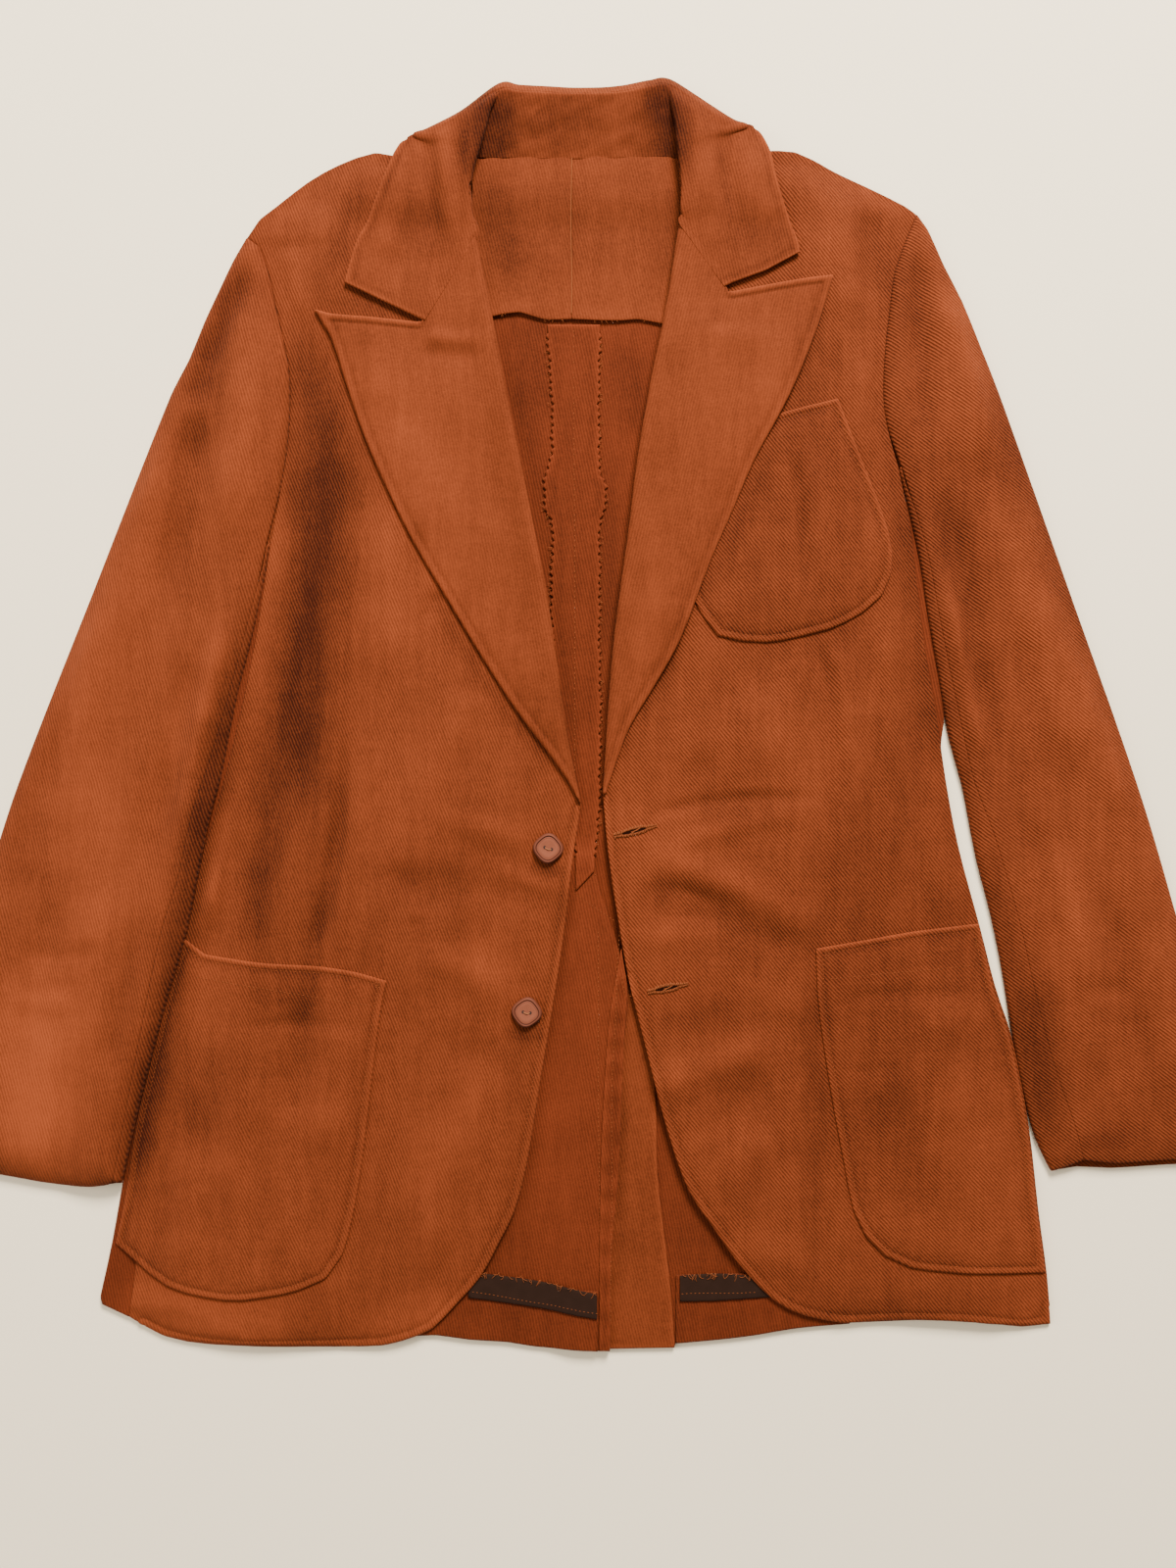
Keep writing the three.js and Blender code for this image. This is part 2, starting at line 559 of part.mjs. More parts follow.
// The collar as sections from the seam over the roll to the free edge, with a doubled thickness.
function collarSolid() {
  const half = DOUBLED / 2;
  const rest = 0.7;
  const lerp = (a, b, t) => a.map((v, c) => v + (b[c] - v) * t);
  const level = (a, b) => {
    const length = Math.hypot(b[0] - a[0], b[1] - a[1]) || 1;
    return [(b[0] - a[0]) / length, (b[1] - a[1]) / length];
  };
  const sections = table(COLLAR_COLUMNS, COLLAR_ROWS).map((row) => {
    const restAt = (x, y) => frontTopAt(x, y) + rest + half;
    const placed = (x, y, z) => [x, y, z === 0 ? restAt(x, y) : z];
    const n = placed(row.nx, row.ny, row.nz);
    const r = placed(row.rx, row.ry, row.rz);
    const s = placed(row.sx, row.sy, row.sz);
    const e = placed(row.ex, row.ey, row.ez);
    const out = level(r, s);
    const inward = level(s, e);
    const rollLow = row.rb ? [r[0] + out[0] * row.rb, r[1] + out[1] * row.rb, r[2] - row.rb] : lerp(r, n, 0.3);
    const rollHigh = row.rb ? [r[0] + out[0] * row.rb, r[1] + out[1] * row.rb, r[2] + row.rb] : lerp(r, s, 0.08);
    const upper = row.sb ? [s[0] + inward[0] * row.sb, s[1] + inward[1] * row.sb, s[2] + row.sb] : lerp(s, r, 0.25);
    const under = row.sb ? [s[0] + inward[0] * row.sb, s[1] + inward[1] * row.sb, s[2] - row.sb] : lerp(s, e, 0.25);
    const points = [n, lerp(n, rollLow, 0.5), rollLow, r, rollHigh];
    points.push(lerp(rollHigh, upper, 0.35), lerp(rollHigh, upper, 0.7), upper, s, under);
    points.push(lerp(under, e, 0.5), e);
    return points.map(([x, y, z], k) => {
      const onTop = k < 8 || !row.sb;
      return onTop && y < 360 && (x < -60 || x > 60) ? [x, y, Math.max(z, restAt(x, y))] : [x, y, z];
    });
  });
  const rows = sections.length;
  const columns = sections[0].length;
  const at = (j, i) => sections[Math.min(rows - 1, Math.max(0, j))][Math.min(columns - 1, Math.max(0, i))];
  const normals = sections.map((section, j) => section.map((_, i) => {
    const u = new THREE.Vector3(...at(j + 1, i)).sub(new THREE.Vector3(...at(j - 1, i)));
    const v = new THREE.Vector3(...at(j, i + 1)).sub(new THREE.Vector3(...at(j, i - 1)));
    return v.cross(u).normalize();
  }));
  const vertices = [];
  for (const side of [-1, 1]) {
    for (let j = 0; j < rows; j += 1) {
      for (let i = 0; i < columns; i += 1) {
        const m = normals[j][i];
        const [x, y, z] = at(j, i);
        vertices.push([x + side * half * m.x, y + side * half * m.y, z + side * half * m.z]);
      }
    }
  }
  const layer = rows * columns;
  const triangles = [];
  const quad = (a, b, c, d) => triangles.push([a, b, c], [a, c, d]);
  for (let j = 0; j < rows - 1; j += 1) {
    for (let i = 0; i < columns - 1; i += 1) {
      const a = j * columns + i;
      quad(a, a + columns, a + columns + 1, a + 1);
      quad(a + layer, a + 1 + layer, a + columns + 1 + layer, a + columns + layer);
    }
  }
  for (let i = 0; i < columns - 1; i += 1) {
    const end = (rows - 1) * columns;
    quad(i, i + 1, i + 1 + layer, i + layer);
    quad(end + i + 1, end + i, end + i + layer, end + i + 1 + layer);
  }
  for (let j = 0; j < rows - 1; j += 1) {
    const a = j * columns;
    const b = a + columns - 1;
    quad(a + columns, a, a + layer, a + columns + layer);
    quad(b, b + columns, b + columns + layer, b + layer);
  }
  return solid(vertices, triangles);
}

// A rounded-square button with a rim, a dish and two thread holes.
function buttonSolid(x, y, turn) {
  const steps = 24;
  const angle = THREE.MathUtils.degToRad(turn);
  const { half, height, power, rim, dish } = BUTTON;
  const reachAt = (t) => 1 / (Math.abs(Math.cos(t)) ** power + Math.abs(Math.sin(t)) ** power) ** (1 / power);
  let rest = frontTopAt(x, y);
  for (let k = 0; k < steps; k += 1) {
    const t = (k / steps) * 2 * Math.PI;
    const reach = (half - 0.8) * reachAt(t);
    rest = Math.max(rest, frontTopAt(x + reach * Math.cos(t + angle), y + reach * Math.sin(t + angle)));
  }
  const low = rest + SEAM_GAP / 2;
  const rings = [
    [half - 0.8, 0],
    [half, 0.8],
    [half, height - 0.9],
    [half - 0.6, height - 0.1],
    [half - rim, height],
    [half - rim - 1.0, height - 0.5],
    [half - rim - 1.7, height - 0.3],
    [half - rim - 3.6, height - dish],
  ];
  const vertices = [[x, y, low]];
  for (const [size, z] of rings) {
    for (let k = 0; k < steps; k += 1) {
      const t = (k / steps) * 2 * Math.PI;
      const reach = size * reachAt(t);
      vertices.push([x + reach * Math.cos(t + angle), y + reach * Math.sin(t + angle), low + z]);
    }
  }
  vertices.push([x, y, low + height - dish - 0.1]);
  const top = vertices.length - 1;
  const triangles = [];
  for (let k = 0; k < steps; k += 1) {
    const next = (k + 1) % steps;
    triangles.push([0, 1 + next, 1 + k]);
    for (let j = 0; j < rings.length - 1; j += 1) {
      const a = 1 + j * steps;
      const b = a + steps;
      triangles.push([a + k, a + next, b + next], [a + k, b + next, b + k]);
    }
    const rimStart = 1 + (rings.length - 1) * steps;
    triangles.push([rimStart + k, rimStart + next, top]);
  }
  let body = solid(vertices, triangles);
  for (const side of [-1, 1]) {
    const hx = x + side * BUTTON.holeSpread * Math.cos(angle);
    const hy = y + side * BUTTON.holeSpread * Math.sin(angle);
    const hole = [];
    for (let k = 0; k < 10; k += 1) {
      const t = (k / 10) * 2 * Math.PI;
      hole.push([hx + BUTTON.holeRadius * Math.cos(t), hy + BUTTON.holeRadius * Math.sin(t)]);
    }
    body = body.subtract(prism(hole, low - 2, low + height + 2));
  }
  return body;
}

const group = new THREE.Group();
group.name = 'twill_jacket';

const materials = Object.fromEntries(Object.entries(MATERIALS).map(([name, look]) => {
  const material = new THREE.MeshStandardMaterial({ ...look, metalness: 0 });
  material.name = name;
  return [name, material];
}));

function add(name, materialName, body) {
  const raw = body.simplify(FLATNESS).getMesh();
  const geometry = new THREE.BufferGeometry();
  geometry.setAttribute('position', new THREE.BufferAttribute(new Float32Array(raw.vertProperties), 3));
  geometry.setIndex(Array.from(raw.triVerts));
  geometry.computeVertexNormals();
  const mesh = new THREE.Mesh(geometry, materials[materialName]);
  mesh.name = name;
  group.add(mesh);
}

const span = (rows, from, to) => rows.slice(from, to);

// The wearer's right side edge above the place where the side seam leaves it.
const SIDE_TO_SEAM = 6;
const sideUpper = span(EDGE.sideRight, 0, SIDE_TO_SEAM);
const sideLower = span(EDGE.sideRight, SIDE_TO_SEAM - 1);
const hemWrap = span(EDGE.hemRight, 0, 3);
const hemFront = span(EDGE.hemRight, 2);
const seamEnd = EDGE.hemRight[2];
const centreHem = EDGE.backHem.findIndex(([x]) => x > 10);
const ventHemY = EDGE.ventFold[EDGE.ventFold.length - 1];
const ventUnderY = EDGE.ventUnder[EDGE.ventUnder.length - 1];

const backRightOutline = outline(
  EDGE.shoulderRight, EDGE.armholeRight, EDGE.sideRight,
  [...span(EDGE.backHem, 0, centreHem), ventHemY],
  back(EDGE.ventFold), back(EDGE.centreSeam),
  [EDGE.centreSeam[0], EDGE.neckSeam[1], ...EDGE.neckDipRight],
);
const wrapSeam = shift([...span(EDGE.sideSeamRight, 1, 8), seamEnd], -SEAM_GAP, 0);
const wrapStrip = outline(
  sideLower, [...span(hemWrap, 0, 2), wrapSeam[wrapSeam.length - 1]], back(wrapSeam), [wrapSeam[0], sideLower[0]],
);
const wrapWall = outline(sideLower, back(shift(sideLower, CLOTH, 0)));

add('back_right', 'twill_inside', turned(
  backRightOutline, wrapStrip, wrapWall, backRightLow, raised(backRightLow, LAYER),
));

const leftCentre = shift(EDGE.centreSeam, SEAM_GAP, 0);
const leftHem = span(EDGE.backHem, centreHem);
add('back_left', 'twill_inside', piece(outline(
  EDGE.shoulderLeft, EDGE.armholeLeft, EDGE.sideLeft,
  back([ventUnderY, ...leftHem]),
  back(EDGE.ventUnder), back(leftCentre),
  [leftCentre[0], EDGE.neckSeam[3], ...EDGE.neckDipLeft],
), backLeftLow));

const facingTop = EDGE.neckSeam;
const facingLow = raised(neckLift, LAYER);
const facingSideRight = [facingTop[0], [-62, 340], [-69, 310], [-66, 280], EDGE.facingBottom[0]];
const facingSideLeft = [facingTop[4], [72, 340], [74, 310], [67, 280], EDGE.facingBottom[7]];
add('neck_facing_right', 'twill', piece(outline(
  [facingTop[0], facingTop[1], facingTop[2]],
  [facingTop[2], EDGE.facingBottom[3]],
  back(span(EDGE.facingBottom, 0, 4)),
  back(facingSideRight),
), facingLow));
add('neck_facing_left', 'twill', piece(outline(
  shift([facingTop[2], EDGE.facingBottom[3]], SEAM_GAP, 0),
  span(EDGE.facingBottom, 4),
  back(facingSideLeft),
  [facingTop[4], facingTop[3], [facingTop[2][0] + SEAM_GAP, facingTop[2][1]]],
), facingLow));

const insideLow = raised(backRightLow, LAYER);
const stripBottom = [EDGE.stripLeft[EDGE.stripLeft.length - 1], EDGE.stripRight[EDGE.stripRight.length - 1]];
add('centre_seam_strip', 'twill_inside', piece(outline(
  EDGE.stripLeft, stripBottom, back(EDGE.stripRight), [EDGE.stripRight[0], EDGE.stripLeft[0]],
), insideLow));

add('vent_hem_right', 'twill_inside', piece(outline(
  [EDGE.ventFold[1], ...EDGE.ventHemEdge],
  [EDGE.ventHemEdge[EDGE.ventHemEdge.length - 1], ventHemY],
  back(span(EDGE.ventFold, 1)),
), insideLow));

const facingInner = span(EDGE.ventUnder, 1);
const facingFoot = EDGE.ventFacingEdge[EDGE.ventFacingEdge.length - 1];
add('vent_facing_left', 'twill', piece(outline(
  [facingInner[0], EDGE.ventFacingEdge[0]],
  EDGE.ventFacingEdge,
  [facingFoot, ventUnderY],
  back(facingInner),
), raised(backLeftLow, LAYER)));

const turnupHeight = 47;
const hemRightPart = EDGE.backHem.filter(([x]) => x > -112 && x < 6);
const turnupRightEnd = shift([EDGE.ventHemEdge[EDGE.ventHemEdge.length - 1]], -SEAM_GAP - 0.7, 0)[0];
const hemRightRun = [...hemRightPart, turnupRightEnd];
add('hem_turnup_right', 'twill_inside', piece(outline(
  hemRightRun,
  [turnupRightEnd, [turnupRightEnd[0], turnupRightEnd[1] + turnupHeight - 8]],
  back(shift(hemRightRun, 0, turnupHeight - 8)),
  [[hemRightRun[0][0], hemRightRun[0][1] + turnupHeight - 8], hemRightRun[0]],
), insideLow));

const hemLeftPart = EDGE.backHem.filter(([x]) => x > 64 && x < 180);
const turnupLeftStart = [facingFoot[0] + SEAM_GAP + 0.7, EDGE.backHem.find(([x]) => x > 64)[1]];
const hemLeftRun = [turnupLeftStart, ...hemLeftPart.slice(1)];
add('hem_turnup_left', 'twill_inside', piece(outline(
  hemLeftRun,
  [hemLeftRun[hemLeftRun.length - 1], [hemLeftRun[hemLeftRun.length - 1][0], -364]],
  [[hemLeftRun[hemLeftRun.length - 1][0], -364], [turnupLeftStart[0], -366.5]],
  [[turnupLeftStart[0], -366.5], turnupLeftStart],
), raised(backLeftLow, LAYER)));

const tapeLow = (lowAt) => raised(lowAt, 2 * LAYER);
const tapeOutline = (top, low) => outline(
  top, [top[top.length - 1], low[low.length - 1]], back(low), [low[0], top[0]],
);
add('hem_tape_right', 'hem_tape', piece(
  tapeOutline(EDGE.tapeRightTop.slice(0, 4).map(([x, y]) => [Math.min(x, 12.4), y]),
    EDGE.tapeRightLow.map(([x, y]) => [Math.min(x, 12.4), y])),
  tapeLow(backRightLow), TAPE,
));
add('hem_tape_left', 'hem_tape', piece(
  tapeOutline(EDGE.tapeLeftTop, EDGE.tapeLeftLow), tapeLow(backLeftLow), TAPE,
));

add('front_right', 'twill', piece(outline(
  EDGE.shoulderRight, EDGE.armholeRight, sideUpper, EDGE.sideSeamRight.slice(0, 8),
  [EDGE.sideSeamRight[7], seamEnd], hemFront, EDGE.edgeRight, EDGE.rollRight,
  EDGE.frontTopRight,
), frontRightLow));
add('front_left', 'twill', piece(outline(
  EDGE.shoulderLeft, EDGE.armholeLeft, EDGE.sideLeft, EDGE.hemLeft, EDGE.edgeLeft, EDGE.rollLeft,
  EDGE.frontTopLeft,
), frontLeftLow));

const aboveFrontRight = raised(frontRightLow, LAYER);
const aboveFrontLeft = raised(frontLeftLow, LAYER);

add('chest_pocket', 'twill', piece(outline(
  [...EDGE.chestPocket, EDGE.chestPocket[0]],
), aboveFrontLeft));
add('hip_pocket_right', 'twill', piece(outline(
  [...EDGE.hipPocketRight, EDGE.hipPocketRight[0]],
), aboveFrontRight));
add('hip_pocket_left', 'twill', piece(outline(
  [...EDGE.hipPocketLeft, EDGE.hipPocketLeft[0]],
), aboveFrontLeft));

const rollUp = (roll) => roll.slice(0, roll.findIndex(([, y]) => y > 300));
add('lapel_right', 'twill', piece(outline(
  [...rollUp(EDGE.rollRight), EDGE.gorgeRight[0]], EDGE.gorgeRight, EDGE.lapelEdgeRight,
), aboveFrontRight, DOUBLED));
add('lapel_left', 'twill', piece(outline(
  [...rollUp(EDGE.rollLeft), EDGE.gorgeLeft[0]], EDGE.gorgeLeft, EDGE.lapelEdgeLeft,
), (x, y) => aboveFrontLeft(x, y) + pocketUnderLapel(x, y), DOUBLED));

add('collar', 'twill', collarSolid());

// A two-piece sleeve: the under sleeve turns round the inner fold up to the seam.
function sleeve(side, lines, lowAt, folds, cuffRise) {
  const sign = side === 'right' ? 1 : -1;
  const away = (rows, amount) => shift(rows, -sign * amount, 0);
  const cap = away(back(lines.armhole), SEAM_GAP);
  const outer = [cap[cap.length - 1], ...lines.outer.slice(1)];
  const inner = [cap[0], ...lines.inner.slice(1)];
  const seam = [cap[0], ...lines.seam.slice(1)];
  const topSeam = [away([cap[0]], CLOTH + 2 * SEAM_GAP)[0], ...away(seam, SEAM_GAP).slice(1)];
  const topLow = sleeveTopLow(lowAt, folds);
  const seamFoot = topSeam[topSeam.length - 1];
  const cuffRun = lines.cuff.filter(([x]) => sign * (seamFoot[0] - x) > 1);
  const topCuff = [...shift(cuffRun, 0, cuffRise), seamFoot];
  const topOuter = [...outer.slice(0, -1), topCuff[0]];
  add('sleeve_under_' + side, 'twill', turned(
    outline(outer, lines.cuff, back(inner), cap),
    outline(seam, [seam[seam.length - 1], lines.cuff[lines.cuff.length - 1]], back(inner)),
    outline(inner, back(away(inner, CLOTH))),
    lowAt,
    topLow,
  ));
  add('sleeve_top_' + side, 'twill', piece(
    outline(topOuter, topCuff, back(topSeam), [topSeam[0], ...cap.slice(1)]), topLow,
  ));
}

sleeve('right', {
  outer: EDGE.sleeveOuterRight,
  inner: EDGE.sleeveInnerRight,
  seam: EDGE.sleeveSeamRight,
  cuff: EDGE.cuffRight,
  armhole: EDGE.armholeRight,
}, sleeveRightLow, FOLDS.sleeveRight, 0);
sleeve('left', {
  outer: EDGE.sleeveOuterLeft,
  inner: EDGE.sleeveInnerLeft,
  seam: EDGE.sleeveSeamLeft,
  cuff: EDGE.cuffLeft,
  armhole: EDGE.armholeLeft,
}, sleeveLeftLow, FOLDS.sleeveLeft, 4.5);

for (const spec of table(BUTTON_COLUMNS, BUTTONS)) {
  add(spec.name, 'button', buttonSolid(spec.x, spec.y, spec.turn));
}

export default group;
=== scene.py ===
"""Twill jacket laid flat: its looks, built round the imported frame.

Tables and heights are in millimetres; Blender works in metres.
+X runs to the wearer's left, +Y to the collar and +Z up.
"""

import math

import bpy
import numpy as np
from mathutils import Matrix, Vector
from mathutils.geometry import delaunay_2d_cdt


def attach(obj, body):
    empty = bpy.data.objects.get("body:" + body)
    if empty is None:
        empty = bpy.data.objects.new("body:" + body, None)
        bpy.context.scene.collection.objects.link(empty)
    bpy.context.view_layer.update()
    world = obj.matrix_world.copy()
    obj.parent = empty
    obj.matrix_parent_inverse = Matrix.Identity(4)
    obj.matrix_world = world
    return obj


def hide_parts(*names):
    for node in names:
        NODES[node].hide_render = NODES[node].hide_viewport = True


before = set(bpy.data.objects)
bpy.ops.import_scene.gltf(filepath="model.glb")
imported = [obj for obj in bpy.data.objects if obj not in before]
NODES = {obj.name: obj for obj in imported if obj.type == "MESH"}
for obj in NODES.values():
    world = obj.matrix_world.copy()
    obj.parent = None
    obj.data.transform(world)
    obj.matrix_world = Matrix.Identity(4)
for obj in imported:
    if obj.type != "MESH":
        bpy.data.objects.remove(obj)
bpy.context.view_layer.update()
MM = 0.001

CLOTH = 1.2
DOUBLED = 2.4
TAPE = 1.0
GAP = 0.4
LAYER = CLOTH + GAP
COLLAR_FALL_LIFT = 2.7
VENT_LIFT = 3.2
INSIDE_LIFT = 2.9
SLEEVE_OVER_BODY = 5.4
FINE = 3.2
BACK_PITCH = 5.0
TAPE_PITCH = 2.4
COARSE = 9.0
# Outlines grow by this much, so that the 0.3 mm between the solids doesn't show at a seam.
SEAM_CLOSE = 0.13
LAPEL_GROWTH = 0.22

ROLL_BUMP = 3.2
PUFF_RIGHT = 5.0
PUFF_LEFT = 4.2
VENT_OVERLAP_LIFT = 2.2
SLEEVE_DOME = {"right": 7.0, "left": 6.0}
POCKET_UNDER_LAPEL = 1.7
BACK_UNDER_SLEEVE = 4.5
WIDEST_GAP_AT_SLEEVE = 16
FACING_UNDER_COLLAR = 4.2
FACING_PAST_SHOULDER = 6.5
STRIP_FOOT = -92
STRIP_HEAD = 252
STRIP_SIDES = (-22, 16)
FRAYS_ON_STRIP = 170
FRAYS_ON_FACING = 9

TOPSTITCH = 2.3
TOPSTITCH_RADIUS = 0.23
TOPSTITCH_INSET = 4.8
POCKET_STITCH_INSET = 4.2
INSIDE_STITCH_RADIUS = 0.2
FACING_SEAM_X = -4.2

CAMERA_HEIGHT = 900.0
FRAME_HEIGHT = 1024.0
PHOTO_CENTRE = (6.7, -44.5)
CLOTH_LEVEL = 6.0

# Soft ridges (height above 0) and troughs (below 0). Each runs along a bend through three
# points and is half as high at "half". It leans to one side where the row gives a lean.
FOLD_COLUMNS = ("x0", "y0", "xm", "ym", "x1", "y1", "half", "height", "lean")
FOLDS_FRONT_RIGHT = [
    (-185.5, 275.5, -184, 198.5, -193, 109, 7, -4.8),
    (-198, 179.5, -206, 83.5, -226, -6, 8.3, 3.9, 0.2),
    (-166, 211.5, -174, 45, -217.5, -163, 15.4, -5.1, -0.2),
    (-120, 198.5, -124, 109, -130, 13, 16.6, 3.3),
    (-232.5, -44.5, -239, -95.5, -243.5, -148, 5.8, 4.8, 0.3),
    (-185.5, -25.5, -188, -83, -194, -147, 7.7, 2.4),
    (-151.5, -6, -159, -93, -175.5, -163, 5.1, -3.6, 0.3),
    (-142, -6, -148, -93, -161.5, -163, 7.7, 2.1),
    (-175.5, -172.5, -184, -223.5, -190.5, -268.5, 7.7, -2.4),
    (-153.5, -179, -161, -236.5, -165, -287.5, 10.2, 1.8),
    (-217.5, -179, -223.5, -249.5, -231.5, -339, 12.8, 1.5),
    (-102, -62.5, -57.5, -75, -26.5, -84, 7.7, 1.8),
    (-121.5, -108.5, -76.5, -111.5, -19, -127.5, 9, -1.35),
    (-108.5, -148, -63.5, -172.5, -38, -191.5, 9, 1.95),
    (-102, -211, -70, -220.5, -28.5, -223.5, 9, -1.2),
    (-95.5, -243, -103.5, -307, -88, -371, 17.9, 2.4),
    (-70, -300.5, -76.5, -345.5, -95.5, -383.5, 9, -1.2),
    (-249.5, -268.5, -254, -319.5, -257, -364.5, 10.2, 1.35),
    (-159.5, 339.5, -166, 301, -156.5, 256.5, 14.1, 1.8),
    (-195.5, 307.5, -185.5, 275.5, -171, 224.5, 9, 2.1),
    (-142, 147.5, -152, 26, -158.5, -127.5, 1, -0.75),
    (-137.5, 144.5, -147.5, 26, -153.5, -127.5, 2.6, 0.68),
    (-110, 147.5, -103.5, 134.5, -98, 109, 4.5, 1.35),
    (-101, 58, -95.5, 70.5, -92, 83.5, 3.8, -1.35),
    (-70, 19.5, -76.5, -6, -81.5, -31.5, 10.2, 1.35),
    (-124.5, -95.5, -108.5, -111.5, -76.5, -127.5, 7.7, -1.5),
    (-108.5, -134, -103.5, -140.5, -101, -163, 3.2, -1.05),
    (-57.5, -95.5, -31.5, -108.5, -6, -111.5, 5.1, 1.2),
    (-44.5, -108.5, -25.5, -124.5, -3, -137.5, 3.8, -1.2),
]
FOLDS_FRONT_LEFT = [
    (32.5, -88, 96.5, -110, 174.5, -145.5, 9.6, 2.88, -0.2),
    (40, -110, 102.5, -134, 163.5, -163, 9, -2.24),
    (38.5, -244, 83.5, -230, 136, -209.5, 9.6, 2.72),
    (50, -268.5, 90, -255.5, 134.5, -236.5, 9, -1.44),
    (74.5, -319.5, 109, -287.5, 134.5, -281.5, 11.5, 1.6),
    (140, 178, 144.5, 128.5, 149, 68, 3.2, -1.92, 0.4),
    (154, 173, 158, 122, 161.5, 70.5, 7.7, 1.44),
    (158, 48.5, 166, 3.5, 174.5, -88, 3.2, -2.56, 0.4),
    (164, 48.5, 174.5, 3.5, 183.5, -88, 7, 2.08),
    (188.5, 166.5, 202, 83.5, 207.5, 6.5, 12.8, 2.56),
    (218, 58, 224.5, 6.5, 232, -44.5, 7.7, -1.92),
    (109, 19.5, 117, -19, 114, -70, 19.2, 1.92),
    (70.5, -19, 83.5, -44.5, 109, -57.5, 12.8, -1.28),
    (234, -172.5, 245, -236.5, 253, -332.5, 12.8, 2.24),
    (198.5, -243, 208.5, -287.5, 221, -339, 12.8, -1.12),
    (109, -166, 128.5, -185.5, 154, -185.5, 9, 1.44),
    (96.5, -358, 122, -351.5, 166.5, -371, 10.2, 1.28),
    (147.5, 339.5, 166.5, 301, 173, 250, 16.6, 2.08),
    (186, 339.5, 192.5, 301, 188.5, 256.5, 7.7, -1.92),
    (192.5, 237, 187, 198.5, 196, 166.5, 9, 1.92),
    (157, 50, 164, -19, 172, -95.5, 1, -0.8),
    (161, 50, 168.5, -19, 177, -95.5, 2.6, 0.8),
    (32.5, -76.5, 70.5, -58.5, 166.5, -52, 3.2, -1.44),
    (45, -95.5, 96.5, -73.5, 166.5, -62.5, 5.8, 1.44),
    (70.5, 83.5, 83.5, 45, 109, 19.5, 12.8, 1.28),
    (32.5, -147, 64.5, -143.5, 109, -137.5, 6.4, 1.12),
    (38.5, -127.5, 70.5, -118, 115.5, -124.5, 5.1, -1.28),
    (154, 48.5, 128.5, 6.5, 115.5, -44.5, 11.5, 1.28),
]
FOLDS_SLEEVE_RIGHT = [
    (-209.5, 302.5, -239, 243.5, -252, 198.5, 8.3, -4.8),
    (-252, 198.5, -254.5, 147.5, -271, 58, 9, -3.9),
    (-264.5, 211.5, -305.5, 83.5, -344, -44.5, 16.6, 5.4, 0.2),
    (-216, 282, -220, 198.5, -230, 102.5, 10.9, 5.7, 0.2),
    (-245.5, 58, -261, -19, -280, -108.5, 9.6, -3.3),
    (-226, 70.5, -245, -6, -261, -95.5, 8.3, 4.2, 0.2),
    (-319.5, 58, -344, -31.5, -369.5, -108.5, 9, -2.4),
    (-299, -95.5, -318.5, -172.5, -331, -249.5, 15.4, 3),
    (-339, -108.5, -357, -185.5, -363, -249.5, 10.2, -2.25),
    (-372, -148, -339, -157, -305.5, -148, 5.8, -1.2),
    (-377.5, -179, -348, -188, -319.5, -180, 6.4, 1.2),
    (-281.5, -121.5, -294, -179, -305.5, -243, 7, -1.8),
    (-403, -172.5, -413, -223.5, -422, -268.5, 10.2, 2.1),
    (-240.5, 275.5, -255.5, 243.5, -268.5, 198.5, 9, 2.7),
    (-281.5, 147.5, -300.5, 96.5, -323.5, 32.5, 7.7, -1.95),
]
FOLDS_SLEEVE_LEFT = [
    (223, 314, 223, 243.5, 227, 179.5, 6.4, -3.84),
    (230.5, 160.5, 254, 70.5, 270.5, -44.5, 9, -4.16),
    (241, 288.5, 254, 224.5, 264, 154, 11.5, 4.8, -0.2),
    (270.5, 160.5, 302.5, 58, 328, -44.5, 15.4, 4.8, -0.2),
    (234.5, 109, 252.5, 26, 265.5, -44.5, 5.1, 3.84),
    (302.5, -76.5, 321.5, -134, 341, -204.5, 11.5, 2.88),
    (288.5, -57.5, 305, -108.5, 318, -166, 7.7, -2.08),
    (341, -108.5, 360, -172.5, 369, -236.5, 9, -1.92),
    (282, 70.5, 298.5, 6.5, 310, -51, 7.7, -1.92),
    (320.5, 58, 339.5, -6, 358.5, -76.5, 10.2, 2.24),
    (378, -134, 388, -191.5, 394.5, -255.5, 10.2, 1.92),
    (326.5, -172.5, 346, -179, 365, -172.5, 5.8, -1.12),
]
FOLDS_BACK = [
    (-31.5, 250, -34, 186, -26.5, 109, 10.2, 0.8),
    (32.5, 237, 28.5, 179.5, 21, 109, 9, 0.8),
    (37.5, 198.5, 32.5, 147.5, 26, 109, 6.4, -0.6),
    (-19, -159.5, -26.5, -230, -31.5, -300.5, 12.8, 0.8),
    (0.5, -147, -2, -211, -6, -275, 9, -0.6),
    (36, -249.5, 38.5, -313.5, 42, -383.5, 10.2, 0.7),
]
FOLDS_COLLAR = [
    (-88, 385.5, -85, 346, -80.5, 307.5, 5.8, 2.7, 0.2),
    (-76.5, 389.5, -75, 352.5, -71.5, 319, 3.8, -1.8),
    (-98, 378, -95.5, 339.5, -92, 300, 5.1, -1.35),
    (-118.5, 358.5, -122.5, 326.5, -129, 294.5, 9, 1.35),
    (-54, 396, -58.5, 371.5, -62.5, 346, 3.2, 2.1),
    (78.5, 392, 81, 358.5, 86, 323, 5.8, 2.1),
    (94, 385.5, 97.5, 352.5, 104, 323, 4.5, -1.35),
    (114, 371.5, 120.5, 339.5, 128.5, 316.5, 7.7, 1.2),
    (70.5, 384.5, 70.5, 358.5, 73.5, 333, 3.2, -1.5),
]
